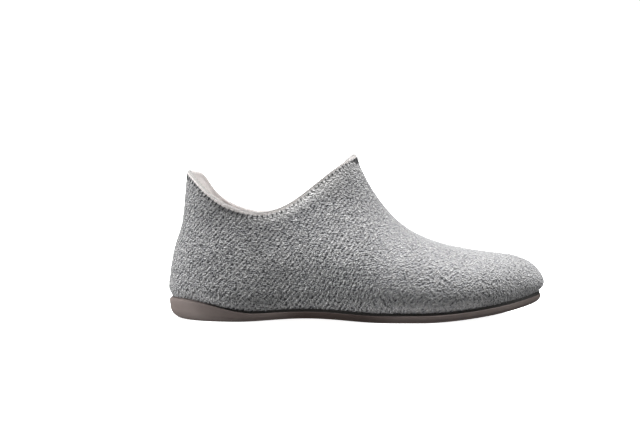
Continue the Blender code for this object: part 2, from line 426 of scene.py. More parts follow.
    def middle_x(self, share: np.ndarray) -> np.ndarray:
        """Mean x of the outer and inner girth line at a share."""
        sides = [self.girth(share, np.full(share.shape, inner)) for inner in (False, True)]
        return (sides[0][..., 0] + sides[1][..., 0]) / 2

    def axis_points(self, x: np.ndarray) -> np.ndarray:
        """Points on the foot's axis for columns at x, drawn in from both ends so that they fan."""
        station = self.station(x)
        toward_toe = np.maximum(0.0, (station - self.throat) / (1 - self.throat))
        toward_heel = np.maximum(0.0, (self.heel_fan - station) / self.heel_fan)
        x = x + self.heel_pull * toward_heel**2 - self.toe_pull * toward_toe**2
        return np.stack((x, self.toe_swing * self.station(x) ** 2), axis=-1)

    def columns(self) -> "Columns":
        """The ring of columns: outer side from heel to toe, then the inner side back."""
        rear = 1 - (1 - np.arange(self.rear_columns) / self.rear_columns) ** self.crowding
        front = np.arange(self.front_columns + 1) / self.front_columns
        share = np.concatenate(
            (rear * self.throat_share, self.throat_share + (1 - self.throat_share) * front)
        )
        both = np.concatenate((share, share[-2::-1]))
        inner = np.arange(len(both)) >= len(share)
        return Columns(self, both, inner)


class Columns:
    """Vertical profiles of the last, one entry a column, the first and last both at the heel."""

    REACH = 0.5  # how far off the girth line's direction is read, in mm
    TUCK_POINTS, WALL_POINTS = 28, 240  # points of a column before its rows are made even

    def __init__(self, last: Last, share: np.ndarray, inner: np.ndarray) -> None:
        """Places each column's foot and top.

        Args:
            last: the last they belong to.
            share: where each stands on the girth line, from heel to toe.
            inner: True for one on the inner side.
        """
        self.last = last
        self.share = share
        self.inner = inner
        self.girth = last.girth(share, inner)
        mark = last.round_to(share, inner)
        ahead = last.loop((mark + self.REACH) % last.round_length)
        along = ahead - last.loop((mark - self.REACH) % last.round_length)
        self.inward = unit(np.stack((-along[:, 1], along[:, 0]), axis=1))
        self.axis = last.axis_points(last.middle_x(share))
        self.ahead = share >= last.throat_share - 1e-9
        self.x = self.girth[:, 0]
        self.station = last.station(self.x)
        self.girth_height = last.seat(self.x) + last.rise(self.station)
        self.edge = last.edge["inset"](self.station)
        self.tuck = self.edge + last.lip_width + last.gap
        self.side = last.side(self.station)[:, None]
        self.crown = last.crown(self.station)[:, None]
        self.top = self._top_angles()

    def __len__(self) -> int:
        """How many columns there are."""
        return len(self.share)

    def at_inset(self, inset: np.ndarray, height: np.ndarray) -> np.ndarray:
        """Points inset from the girth line at heights, columns by rows by three."""
        plan = self.girth[:, None, :] + self.inward[:, None, :] * inset[..., None]
        return np.concatenate((plan, np.broadcast_to(height, inset.shape)[..., None]), axis=2)

    def from_girth(self, points: np.ndarray) -> np.ndarray:
        """How far points lie in from the girth line, seen from above, columns by rows."""
        return np.linalg.norm(points[..., :2] - self.girth[:, None], axis=2)

    def to_axis(self, edge: np.ndarray, shares: np.ndarray) -> np.ndarray:
        """Points between an edge and the foot's axis.

        Args:
            edge: one point a column.
            shares: 1 at the edge, 0 on the axis.

        Returns:
            Columns by rows by three, with a height still to be given.
        """
        way = edge[:, None, :2] - self.axis[:, None]
        plan = self.axis[:, None] + way * shares[None, :, None]
        return np.concatenate((plan, np.zeros((*plan.shape[:2], 1))), axis=2)

    def wall(self, angle: np.ndarray) -> np.ndarray:
        """Points of the outside above the girth line.

        Args:
            angle: columns by rows, from 0 at the girth line to a quarter turn at the ridge.

        Returns:
            Columns by rows by three.
        """
        last = self.last
        across = np.maximum(0.0, np.cos(angle)) ** (2 / self.side)
        up = np.sin(angle) ** (2 / self.crown)
        plan = self.axis[:, None] + (self.girth - self.axis)[:, None] * across[..., None]
        foot = self.girth_height[:, None]
        height = foot + (last.ridge(last.station(plan[..., 0])) - foot) * up
        pinch = np.maximum(0.0, last.pinch(self.station))[:, None]
        narrow = 1 - pinch * soft_step(last.pinch_low, last.pinch_high, height)
        plan = self.axis[:, None] + (plan - self.axis[:, None]) * narrow[..., None]
        toward_heel = self.inward[:, :1] ** 2
        share = height / last.heel_height
        lean = toward_heel * last.lean_heel(share) + (1 - toward_heel) * last.lean_side(share)
        fade = soft_step(last.throat, last.throat - last.lean_fade, self.station)
        lean = np.maximum(0.0, lean * fade[:, None])
        plan = plan + self.inward[:, None] * lean[..., None]
        return np.concatenate((plan, height[..., None]), axis=2)

    def _top_angles(self) -> np.ndarray:
        """The wall's angle at the collar, or a quarter turn where a column ends at the ridge."""
        last = self.last
        low, high = np.zeros(len(self)), np.full(len(self), math.pi / 2)
        for _ in range(HALVINGS):
            middle = (low + high) / 2
            point = self.wall(middle[:, None])[:, 0]
            station = last.station(point[:, 0])
            collar = np.where(self.inner, last.collar_inner(station), last.collar_outer(station))
            below = point[:, 2] < collar
            low, high = np.where(below, middle, low), np.where(below, high, middle)
        return np.where(self.ahead, math.pi / 2, low)

    def outside(self, rows: int, hidden: float) -> np.ndarray:
        """The outside from just under the sole's lip to the collar or ridge, in even rows.

        Args:
            rows: how many rows.
            hidden: how far the lowest row lies below the lip's top, in mm.

        Returns:
            Columns by rows by three.
        """
        lip = self.last.lip_top(self.x)[:, None]
        share = np.linspace(0, 1, self.TUCK_POINTS)[None]
        inset = self.tuck[:, None] * (1 - share) ** 2
        tuck = self.at_inset(inset, lip + (self.girth_height[:, None] - lip) * share)
        below = self.at_inset(self.tuck[:, None], lip - hidden)
        angle = self.top[:, None] * np.linspace(0, 1, self.WALL_POINTS)[None, 1:]
        line = np.concatenate((below, tuck, self.wall(angle)), axis=1)
        even = np.linspace(0, 1, rows)
        places = np.zeros((len(self), rows, 3))
        for place, along, points in zip(places, distance_along(line), line):
            for k in range(3):
                place[:, k] = np.interp(even * along[-1], along, points[:, k])
        return places


def grid_normals(places: np.ndarray, ridge: np.ndarray) -> np.ndarray:
    """Outward normals of a grid that is closed at the heel and along the ridge.

    Args:
        places: columns by rows by three.
        ridge: True for a column whose last row lies on the ridge.

    Returns:
        Columns by rows by three.
    """
    ring = np.concatenate((places[-2:-1], places, places[1:2]), axis=0)
    along = ring[2:] - ring[:-2]
    up = np.gradient(places, axis=1)
    normal = unit(np.cross(along, up))
    shared = unit(normal[:, -1] + normal[::-1, -1])
    normal[ridge, -1] = shared[ridge]
    # Close to the throat the columns meet, so a normal on the ridge comes from one row down
    weak = np.linalg.norm(along, axis=2) < 1e-6
    normal[weak] = np.roll(normal, 1, axis=1)[weak]
    return normal


def lay_cloth(mesh: bpy.types.Mesh, flat: np.ndarray) -> None:
    """Gives a mesh the UV map "cloth" from one flat point a vertex."""
    corner = np.zeros(len(mesh.loops), np.int32)
    mesh.loops.foreach_get("vertex_index", corner)
    layer = mesh.uv_layers.new(name="cloth")
    layer.data.foreach_set("uv", flat.reshape(-1, 2)[corner].astype(np.float32).ravel())


def grid_mesh(
    name: str,
    places: np.ndarray,
    flat: np.ndarray | None = None,
    marks: dict[str, np.ndarray] | None = None,
    inside_out: bool = False,
    weld: np.ndarray | None = None,
) -> bpy.types.Mesh:
    """A mesh from a flat grid that is laid onto places and closed where they meet.

    Args:
        name: the mesh's name.
        places: columns by rows by three, in mm.
        flat: columns by rows by two, kept as the UV map "cloth".
        marks: values by columns and rows, kept as attributes.
        inside_out: True to turn the faces round.
        weld: True where a point may join another; everywhere by default.

    Returns:
        The mesh, in metres.
    """
    columns, rows = places.shape[:2]
    mesh = bpy.data.meshes.new(name)
    work = bmesh.new()
    bmesh.ops.create_grid(work, x_segments=columns - 1, y_segments=rows - 1, size=0.5)
    work.to_mesh(mesh)
    work.free()

    def by_row(values: np.ndarray) -> np.ndarray:
        """Grid values in the order of the grid's vertices."""
        return np.ascontiguousarray(np.swapaxes(values, 0, 1), np.float32)

    mesh.vertices.foreach_set("co", (by_row(places) * MM).astype(np.float32).ravel())
    if flat is not None:
        lay_cloth(mesh, by_row(flat))
    for mark, values in (marks or {}).items():
        attribute = mesh.attributes.new(mark, "FLOAT", "POINT")
        attribute.data.foreach_set("value", by_row(values).ravel())

    work = bmesh.new()
    work.from_mesh(mesh)
    work.verts.ensure_lookup_table()
    chosen = list(work.verts)
    if weld is not None:
        chosen = [work.verts[i] for i in np.flatnonzero(by_row(weld).ravel() > 0.5)]
    bmesh.ops.remove_doubles(work, verts=chosen, dist=WELD)
    if inside_out:
        bmesh.ops.reverse_faces(work, faces=work.faces)
    work.to_mesh(mesh)
    work.free()
    mesh.shade_smooth()
    return mesh


def join_meshes(name: str, meshes: Sequence[bpy.types.Mesh]) -> bpy.types.Mesh:
    """One mesh from several, which are removed."""
    work = bmesh.new()
    for mesh in meshes:
        work.from_mesh(mesh)
        bpy.data.meshes.remove(mesh)
    joined = bpy.data.meshes.new(name)
    work.to_mesh(joined)
    work.free()
    joined.shade_smooth()
    return joined


def add_piece(
    mesh: bpy.types.Mesh, name: str, finish: bpy.types.Material
) -> bpy.types.Object:
    """An object of the slipper that holds a mesh and rides on its one body."""
    mesh.materials.append(finish)
    piece = bpy.data.objects.new(name, mesh)
    bpy.context.scene.collection.objects.link(piece)
    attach(piece, "root")
    mesh.calc_loop_triangles()
    log.info("%s: %d triangles", name, len(mesh.loop_triangles))
    return piece


def thread_mesh(
    name: str, paths: np.ndarray, outward: np.ndarray, radius: np.ndarray, sides: int = 7
) -> bpy.types.Mesh:
    """Many short threads of one count as one mesh.

    Args:
        name: the mesh's name.
        paths: threads by points by three, in mm.
        outward: threads by points by three, a direction away from the cloth.
        radius: one a point, in mm.
        sides: faces around a thread.

    Returns:
        The mesh, with the UV map "cloth" as distance along and share around.
    """
    threads, points = paths.shape[:2]
    along = unit(np.gradient(paths, axis=1))
    across = unit(np.cross(along, outward))
    lift = np.cross(across, along)
    turn = np.arange(sides) / sides * TURN
    ring = (
        across[:, :, None] * np.cos(turn)[:, None] + lift[:, :, None] * np.sin(turn)[:, None]
    ) * radius[:, None, None]
    places = (paths[:, :, None] + ring).reshape(-1, 3)

    index = np.arange(threads * points * sides).reshape(threads, points, sides)
    beside = np.roll(index, -1, axis=2)
    quads = np.stack((index[:, :-1], beside[:, :-1], beside[:, 1:], index[:, 1:]), axis=-1)
    quads = quads.reshape(-1, 4)
    ends = np.concatenate((index[:, 0, ::-1], index[:, -1]))
    mesh = bpy.data.meshes.new(name)
    mesh.from_pydata((places * MM).tolist(), [], quads.tolist() + ends.tolist())
    reach = distance_along(paths)[:, :, None]
    lay_cloth(mesh, np.stack(np.broadcast_arrays(reach, turn / TURN), axis=-1))
    mesh.shade_smooth()
    return mesh


class Speck(NamedTuple):
    """Noise in the yarn: how fine it is, its share on the ribs and what the felting adds to it."""

    scale: float
    share: float
    felting: float


@dataclass
class Twill:
    """The wool's twill: slanting ribs, uneven and half felted over, in mm of the flat cloth."""

    along: Span = (0.602, 0.799)
    along_toe: Span = (0.848, 0.530)
    pitch: float = 2.44
    row_across: Span = (0.237, 0.972)
    row_pitch: float = 3.13
    relief: float = 0.08
    drift: float = 0.8
    waver: float = 0.35
    hidden: float = 0.85
    row_share: float = 0.45
    toe_share: float = 0.45
    rib_share: float = 0.78
    felted_over: float = 0.9
    calmed: float = 0.27
    speck: Speck = Speck(1.0, 7.6, -2.8)
    knot: Speck = Speck(0.62, 3.3, -0.2)
    nub: Speck = Speck(0.35, 4.1, -0.8)
    dash: Speck = Speck(1.0, 0.9, 4.9)
    dash_stretch: Span = (0.54, 0.88)

    @staticmethod
    def square_to(along: Span) -> Span:
        """The direction square to another."""
        return -along[1], along[0]

    def uneven(self, flat: np.ndarray) -> np.ndarray:
        """The even pattern's points with the drift and waver of a real weave, in mm."""
        slow = np.stack((Lumps(11, 24.0)(flat), Lumps(12, 24.0)(flat)), axis=-1)
        fast = np.stack((Lumps(13, 7.0)(flat), Lumps(14, 7.0)(flat)), axis=-1)
        return flat + slow * self.drift + fast * self.waver

    def height(self, cloth: np.ndarray, felted: np.ndarray) -> np.ndarray:
        """Relief of the ribs, and of nubs between them.

        Args:
            cloth: uneven coordinates, in mm.
            felted: from 0, clear ribs, to 1, where felting hides them.

        Returns:
            Heights around nought, in mm.
        """
        across = np.array(self.square_to(self.along))
        rib = np.cos(TURN * (cloth @ across) / self.pitch)
        nub = Lumps(15, 1.5)(cloth) + 0.8 * Lumps(16, 2.9)(cloth)
        return self.relief * (rib * (1 - self.hidden * felted) + nub)


class Bench:
    """Adds and joins shader nodes in one tree."""

    def __init__(self, tree: bpy.types.NodeTree) -> None:
        """Takes the tree."""
        self.tree = tree

    def node(self, kind: str, **settings: object) -> bpy.types.Node:
        """A new node with its settings."""
        made = self.tree.nodes.new(kind)
        for name, value in settings.items():
            setattr(made, name, value)
        return made

    def feed(self, socket: Socket, source: object) -> None:
        """Links a socket to another, or sets its own value."""
        if isinstance(source, Socket):
            self.tree.links.new(source, socket)
        else:
            socket.default_value = source

    def feed_all(self, node: bpy.types.Node, sources: dict[str, object]) -> None:
        """Feeds several sockets of a node by name."""
        for name, source in sources.items():
            self.feed(node.inputs[name], source)

    def math(self, operation: str, *sources: object, clamp: bool = False) -> Socket:
        """A sum of numbers."""
        made = self.node("ShaderNodeMath", operation=operation, use_clamp=clamp)
        for socket, source in zip(made.inputs, sources):
            self.feed(socket, source)
        return made.outputs[0]

    def times(self, first: object, second: object) -> Socket:
        """Two numbers multiplied."""
        return self.math("MULTIPLY", first, second)

    def add(self, source: object, share: object, base: object, clamp: bool = False) -> Socket:
        """A share of a number added to a base."""
        return self.math("MULTIPLY_ADD", source, share, base, clamp=clamp)

    def vector(self, operation: str, *sources: object) -> Socket:
        """A sum of vectors."""
        made = self.node("ShaderNodeVectorMath", operation=operation)
        for socket, source in zip(made.inputs, sources):
            self.feed(socket, source)
        return made.outputs["Value" if operation == "DOT_PRODUCT" else "Vector"]

    def scaled(self, given: bpy.types.Node) -> Socket:
        """A group's own vector times its own scale."""
        spot = self.vector("SCALE", given.outputs["Vector"])
        self.feed(spot.node.inputs["Scale"], given.outputs["Scale"])
        return spot

    def along(self, vector: Socket, way: Sequence[float]) -> Socket:
        """How far a flat vector reaches along a direction."""
        return self.vector("DOT_PRODUCT", vector, (*way, 0.0))

    def mix(
        self,
        share: object,
        first: object,
        second: object,
        blend: str = "MIX",
        clamp: bool = False,
    ) -> Socket:
        """Two colours mixed.

        Args:
            share: how much of the second.
            first: a colour or socket.
            second: a colour or socket.
            blend: how they mix.
            clamp: True to keep the result between black and white.

        Returns:
            The mixed colour.
        """
        made = self.node("ShaderNodeMix", data_type="RGBA", blend_type=blend, clamp_result=clamp)
        made.clamp_factor = True
        sockets = (made.inputs[0], made.inputs[6], made.inputs[7])
        for socket, source in zip(sockets, (share, first, second)):
            if not isinstance(source, Socket) and socket.type == "RGBA":
                source = (*source, 1.0)
            self.feed(socket, source)
        return made.outputs[2]

    def spread(self, source: object, low: float, high: float) -> Socket:
        """A number spread from the range low to high to that from 0 to 1, softly at both ends."""
        made = self.node("ShaderNodeMapRange", interpolation_type="SMOOTHSTEP")
        for socket, value in zip(made.inputs, (source, low, high, 0.0, 1.0)):
            self.feed(socket, value)
        return made.outputs[0]

    def noise(
        self, vector: Socket, scale: float, detail: float = 2.0, roughness: float = 0.55
    ) -> Socket:
        """Soft noise around a half in space."""
        made = self.node("ShaderNodeTexNoise", noise_dimensions="3D")
        sources = {"Vector": vector, "Scale": scale, "Detail": detail, "Roughness": roughness}
        self.feed_all(made, sources)
        return made.outputs["Fac"]

    def flat_noise(self, vector: Socket, scale: float, detail: float = 0.0) -> Socket:
        """Soft noise around a half on a plane."""
        made = self.noise(vector, scale, detail)
        made.node.noise_dimensions = "2D"
        return made

    def mark(self, name: str) -> Socket:
        """A value that the mesh itself carries."""
        return self.node("ShaderNodeAttribute", attribute_name=name).outputs["Fac"]

    def space(self) -> Socket:
        """Where a point lies in its object."""
        return self.node("ShaderNodeTexCoord").outputs["Object"]

    def cloth(self) -> Socket:
        """Where a point lies on its UV map."""
        return self.node("ShaderNodeUVMap", uv_map="cloth").outputs[0]

    def group(self, tree: bpy.types.NodeTree, **sources: object) -> bpy.types.NodeOutputs:
        """A node group placed with its own values: what it puts out."""
        made = self.node("ShaderNodeGroup", node_tree=tree)
        self.feed_all(made, sources)
        return made.outputs

    def bump(self, height: Socket, distance: float, strength: float) -> Socket:
        """A normal from a height."""
        made = self.node("ShaderNodeBump")
        self.feed_all(made, {"Height": height, "Distance": distance, "Strength": strength})
        return made.outputs["Normal"]


class Effects:
    """Shader node groups that more than one finish uses, each built once."""

    IN_SPACE = (("Vector", "NodeSocketVector"), ("Scale", "NodeSocketFloat"))
    ON_CLOTH = (("Cloth", "NodeSocketVector"), ("Felted", "NodeSocketFloat"))
    HAIR_WANDER = (7.0, 7.0, 7.0)
    HAIR_STRETCH = (0.5, 2.4, 1.0)
    HAIR_UNEVEN = 0.1
    SCRATCH_STRETCH = (2.0, 2.0, 26.0)

    def __init__(self, twill: Twill) -> None:
        """Builds the groups for a weave."""
        self.fibre = self._fibre()
        self.twill = self._twill(twill)
        self.handling = self._handling()

    @staticmethod
    def _start(
        name: str, inputs: Sequence[tuple[str, str]], outputs: Sequence[str]
    ) -> tuple[Bench, bpy.types.Node, bpy.types.Node]:
        """An empty group.

        Args:
            name: its name.
            inputs: names and socket kinds.
            outputs: names of the values that it puts out.

        Returns:
            A bench on it, its input node and its output node.
        """
        tree = bpy.data.node_groups.new(name, "ShaderNodeTree")
        for label, kind in inputs:
            tree.interface.new_socket(label, in_out="INPUT", socket_type=kind)
        for label in outputs:
            tree.interface.new_socket(label, in_out="OUTPUT", socket_type="NodeSocketFloat")
        bench = Bench(tree)
        return bench, bench.node("NodeGroupInput"), bench.node("NodeGroupOutput")

    def _fibre(self) -> bpy.types.NodeTree:
        """Wool fibres: fine speckle, short hairs that lie every way, and slow clouds of tone."""
        names = ("Speckle", "Hair", "Cloud")
        bench, given, out = self._start("wool_fibre", self.IN_SPACE, names)
        spot = bench.scaled(given)
        speckle = bench.noise(spot, 1.0, detail=3.0, roughness=0.7)
        bend = bench.noise(spot, 0.35, detail=1.0)
        swirl = bench.node("ShaderNodeTexNoise", noise_dimensions="3D")
        bench.feed_all(swirl, {"Vector": spot, "Scale": 0.22, "Detail": 2.0})
        drawn = bench.vector("MULTIPLY_ADD", swirl.outputs["Color"], self.HAIR_WANDER, spot)
        long_way = bench.vector("MULTIPLY", drawn, self.HAIR_STRETCH)
        hair = bench.noise(long_way, 0.8, detail=2.0, roughness=0.6)
        hair = bench.add(bend, self.HAIR_UNEVEN, hair)
        cloud = bench.noise(spot, 0.045, detail=3.0)
        bench.feed(out.inputs["Speckle"], bench.spread(speckle, 0.28, 0.72))
        bench.feed(out.inputs["Hair"], bench.spread(hair, 0.36, 0.74))
        bench.feed(out.inputs["Cloud"], bench.spread(cloud, 0.32, 0.68))
        return bench.tree

    def _twill(self, twill: Twill) -> bpy.types.NodeTree:
        """Yarn of the twill around nought: ribs and rows, dashes along them, nubs and specks."""
        bench, given, out = self._start("twill", self.ON_CLOTH, ("Yarn", "Nub"))
        cloth, felted = given.outputs["Cloth"], given.outputs["Felted"]

        def wave(across: Span, pitch: float) -> Socket:
            """Even waves square to a direction."""
            return bench.math("COSINE", bench.times(bench.along(cloth, across), TURN / pitch))

        def dashes(along: Span) -> Socket:
            """Short dashes that lie along a direction."""
            turned = bench.node("ShaderNodeCombineXYZ")
            ways = (along, twill.square_to(along))
            for socket, way, stretch in zip(turned.inputs, ways, twill.dash_stretch):
                bench.feed(socket, bench.times(bench.along(cloth, way), stretch))
            return bench.flat_noise(turned.outputs[0], twill.dash.scale)

        speck, knot, nub = (
            bench.flat_noise(cloth, kind.scale) for kind in (twill.speck, twill.knot, twill.nub)
        )
        patch = bench.flat_noise(cloth, 0.17, detail=1.0)
        side, toe = dashes(twill.along), dashes(twill.along_toe)
        dash = bench.add(bench.math("SUBTRACT", toe, side), felted, side)

        ribs = wave(twill.square_to(twill.along), twill.pitch)
        weave = bench.add(wave(twill.row_across, twill.row_pitch), twill.row_share, ribs)
        toe_ribs = wave(twill.square_to(twill.along_toe), twill.pitch)
        toe_ribs = bench.times(toe_ribs, bench.times(felted, twill.toe_share))
        weave = bench.add(weave, bench.add(felted, -twill.felted_over, 1.0), toe_ribs)
        broken = bench.times(bench.add(patch, 1.1, 0.45), twill.rib_share)
        yarn = bench.times(weave, broken)
        for source, kind in (
            (speck, twill.speck),
            (knot, twill.knot),
            (nub, twill.nub),
            (dash, twill.dash),
        ):
            share = bench.add(felted, kind.felting, kind.share)
            yarn = bench.add(bench.math("SUBTRACT", source, 0.5), share, yarn)
        calm = bench.add(felted, -twill.calmed, 1.0)
        bench.feed(out.inputs["Yarn"], bench.times(yarn, calm))
        bench.feed(out.inputs["Nub"], nub)
        return bench.tree

    def _handling(self) -> bpy.types.NodeTree:
        """Marks of use: slow smudges and fine scratches."""
        bench, given, out = self._start("handling", self.IN_SPACE, ("Smudge", "Scratch"))
        spot = bench.scaled(given)
        smudge = bench.noise(spot, 1.0, detail=4.0, roughness=0.6)
        drawn = bench.vector("MULTIPLY", spot, self.SCRATCH_STRETCH)
        scratch = bench.noise(drawn, 1.6, detail=3.0, roughness=0.65)
        bench.feed(out.inputs["Smudge"], bench.spread(smudge, 0.4, 0.75))
        bench.feed(out.inputs["Scratch"], bench.spread(scratch, 0.56, 0.72))
        return bench.tree


def new_material(name: str) -> tuple[bpy.types.Material, Bench, bpy.types.Node]:
    """A material with one Principled shader, a bench on its tree, and the shader."""
    material = bpy.data.materials.new(name)
    material.use_nodes = True
    tree = material.node_tree
    return material, Bench(tree), tree.nodes["Principled BSDF"]


@dataclass(frozen=True)
class WoolTwill:
    """Grey heathered wool: dark, middle and light yarn, felted over; with painted light along the
    sole and by the collar, and painted shade in the stitches' dents.
    """

    dark: Shade = (0.032, 0.032, 0.034)
    cool: Shade = (0.286, 0.289, 0.304)
    warm: Shade = (0.299, 0.293, 0.289)
    light: Shade = (0.60, 0.60, 0.605)
    # Colours of painted light along the sole and by the collar, and of painted shade in the dents
    bounce_brighter: Shade = (2.6, 2.58, 2.56)
    pale: Shade = (0.90, 0.885, 0.875)
    dent_shade: Shade = (0.035, 0.035, 0.038)
    fuzz: Shade = (0.40, 0.40, 0.405)
    fuzz_share: float = 0.55
    middle: float = 0.46
    contrast: float = 0.128
    cloud: float = 0.08
    fibre_scale: float = 1.15
    hair_height: float = 0.3
    hair_gloss: float = 0.08
    relief: float = 0.00022
    roughness: float = 0.98
    specular: float = 0.15
    sheen: float = 0.2
    sheen_roughness: float = 0.6

    def material(self, effects: Effects) -> bpy.types.Material:
        """The finish as a material that reads the cloth's own UV map, in mm, and its marks."""
        material, bench, shader = new_material("wool_twill")
        cloth = bench.cloth()
        weave = bench.group(effects.twill, Cloth=cloth, Felted=bench.mark("felted"))
        wool = bench.group(effects.fibre, Vector=cloth, Scale=self.fibre_scale)

        tone = bench.add(weave["Yarn"], self.contrast, self.middle)
        tone = bench.add(wool["Cloud"], self.cloud, tone, clamp=True)
        middle = bench.mix(weave["Nub"], self.cool, self.warm)
        lower = bench.mix(bench.spread(tone, 0.0, 0.5), self.dark, middle)
        colour = bench.mix(bench.spread(tone, 0.5, 1.0), lower, self.light)
        # Painted light: brighter wool along the sole stands in for light thrown up from the floor
        bounce_lit = bench.mix(1.0, colour, self.bounce_brighter, "MULTIPLY", clamp=True)
        colour = bench.mix(bench.mark("painted_bounce"), colour, bounce_lit)
        # Painted light: paler, flatter wool by the collar on the instep
        colour = bench.mix(bench.mark("painted_light"), colour, self.pale)
        # Painted shade: darker wool in the dents that the stitches press in
        colour = bench.mix(bench.mark("dent_shade"), colour, self.dent_shade)
        edge_on = bench.node("ShaderNodeLayerWeight").outputs["Facing"]
        nap = bench.times(bench.spread(edge_on, 0.6, 1.0), self.fuzz_share)
        height = bench.add(wool["Hair"], self.hair_height, weave["Yarn"])
        bench.feed_all(
            shader,
            {
                "Base Color": bench.mix(nap, colour, self.fuzz),
                "Roughness": bench.add(wool["Hair"], -self.hair_gloss, self.roughness),
                "Normal": bench.bump(height, self.relief, 1.0),
                "Specular IOR Level": self.specular,
                "Sheen Weight": self.sheen,
                "Sheen Roughness": self.sheen_roughness,
            },
        )
        return material


@dataclass(frozen=True)
class BrushedLining:
    """Pale brushed wool with a short pile, also on the insole's top."""

    name: str = "brushed_lining"
    low: Shade = (0.74, 0.69, 0.67)
    high: Shade = (0.93, 0.885, 0.865)
    rim_low: Shade = (0.26, 0.25, 0.245)
    rim_high: Shade = (0.40, 0.385, 0.375)
    scale: float = 900.0
    use_scale: float = 30.0
    speckle: float = 0.45
    hair: float = 0.3
    smudge: float = 0.15
    base: float = 0.2
    relief: float = 0.0004

    def material(self, effects: Effects) -> bpy.types.Material:
        """The finish as a material on object coordinates."""
        material, bench, shader = new_material(self.name)
        spot = bench.space()
        wool = bench.group(effects.fibre, Vector=spot, Scale=self.scale)
        used = bench.group(effects.handling, Vector=spot, Scale=self.use_scale)
        tone = bench.add(wool["Speckle"], self.speckle, self.base)
        tone = bench.add(wool["Hair"], self.hair, tone)
        tone = bench.add(used["Smudge"], -self.smudge, tone, clamp=True)
        rim = bench.mix(tone, self.rim_low, self.rim_high)
        height = bench.math("ADD", wool["Speckle"], wool["Hair"])
        pile = bench.mix(tone, self.low, self.high)
        bench.feed_all(
            shader,
            {
                "Base Color": bench.mix(bench.mark("rim"), pile, rim),
                "Roughness": bench.add(wool["Hair"], -0.06, 0.98),
                "Normal": bench.bump(height, self.relief, 0.6),
                "Specular IOR Level": 0.1,
                "Sheen Weight": 0.3,
                "Sheen Roughness": 0.5,
            },
        )
        return material


@dataclass(frozen=True)
class SoleRubber:
    """Taupe moulded rubber, matt, dusty at the bottom edge, with a dark joint line and painted
    shade in its groove and at the waist.
    """

    taupe: Shade = (0.163, 0.131, 0.120)
    dusty: Shade = (0.215, 0.182, 0.170)
    # Painted shade on the side at the waist; dark joint line with painted shade in its groove
    waist_shade: Shade = (0.060, 0.042, 0.036)
    joint_and_shade: Shade = (0.014, 0.012, 0.011)
    use_scale: float = 45.0
    grain_scale: float = 2600.0
    smudge_dust: float = 0.45
    grain_dust: float = 0.25
    scratch_dust: float = 0.5
    relief: float = 0.00008
    roughness: float = 0.58

    def material(self, effects: Effects) -> bpy.types.Material:
        """The finish as a material on object coordinates and the sole's own marks."""
        material, bench, shader = new_material("moulded_rubber")
        spot = bench.space()
        used = bench.group(effects.handling, Vector=spot, Scale=self.use_scale)
        grain = bench.noise(spot, self.grain_scale, detail=2.0, roughness=0.6)
        dust = bench.add(used["Smudge"], self.smudge_dust, bench.times(grain, self.grain_dust))
        worn = bench.times(bench.mark("worn"), used["Scratch"])
        dust = bench.add(worn, self.scratch_dust, dust, clamp=True)
        colour = bench.mix(dust, self.taupe, self.dusty)
        # Painted shade on the side between heel and ball and at the toe
        colour = bench.mix(bench.mark("painted_shade"), colour, self.waist_shade)
        rough = bench.add(used["Smudge"], 0.14, self.roughness)
        height = bench.add(used["Scratch"], -0.5, grain)
        bench.feed_all(
            shader,
            {
                # The dark joint line under the upper, with painted shade in its groove
                "Base Color": bench.mix(bench.mark("joint_and_shade"), colour, self.joint_and_shade),
                "Roughness": bench.add(grain, 0.1, rough),
                "Normal": bench.bump(height, self.relief, 0.5),
                "Specular IOR Level": 0.3,
            },
        )
        return material


class Thread(Enum):
    """The threads that the slipper is sewn with."""

    DARK = "dark_thread"
    PALE = "pale_thread"


@dataclass(frozen=True)
class SewingThread:
    """Two-ply thread: plies that wind round it, with a little fluff."""

    thread: Thread
    low: Shade
    high: Shade
    fluff_scale: float = 2200.0
    winding: Span = (1.3, 2.0)
    relief: float = 0.00012

    def material(self, effects: Effects) -> bpy.types.Material:
        """The finish as a material on the thread's own UV map."""
        material, bench, shader = new_material(self.thread.value)
        wool = bench.group(effects.fibre, Vector=bench.space(), Scale=self.fluff_scale)
        wind = bench.times(bench.along(bench.cloth(), self.winding), TURN)
        ply = bench.add(bench.math("COSINE", wind), 0.5, 0.5)
        tone = bench.add(ply, 0.6, bench.times(wool["Speckle"], 0.4), clamp=True)
        bench.feed_all(
            shader,
            {
                "Base Color": bench.mix(tone, self.low, self.high),
                "Roughness": bench.add(ply, -0.1, 0.9),
                "Normal": bench.bump(ply, self.relief, 0.7),
                "Specular IOR Level": 0.2,
                "Sheen Weight": 0.15,
            },
        )
        return material


@dataclass(frozen=True)
class NapHair:
    """Loose wool hairs, some light and some dark."""

    dark: Shade = (0.16, 0.16, 0.165)
    light: Shade = (0.56, 0.56, 0.565)
    fibre_scale: float = 1500.0

    def material(self, effects: Effects) -> bpy.types.Material:
        """The finish as a material that reads each hair's own tone."""
        material, bench, shader = new_material("nap_hair")
        wool = bench.group(effects.fibre, Vector=bench.space(), Scale=self.fibre_scale)
        own = bench.times(bench.mark("tone"), 0.8)
        tone = bench.add(wool["Speckle"], 0.2, own, clamp=True)
        bench.feed_all(
            shader,
            {
                "Base Color": bench.mix(tone, self.dark, self.light),
                "Roughness": bench.add(wool["Hair"], -0.1, 0.95),
                "Specular IOR Level": 0.2,
            },
        )
        return material


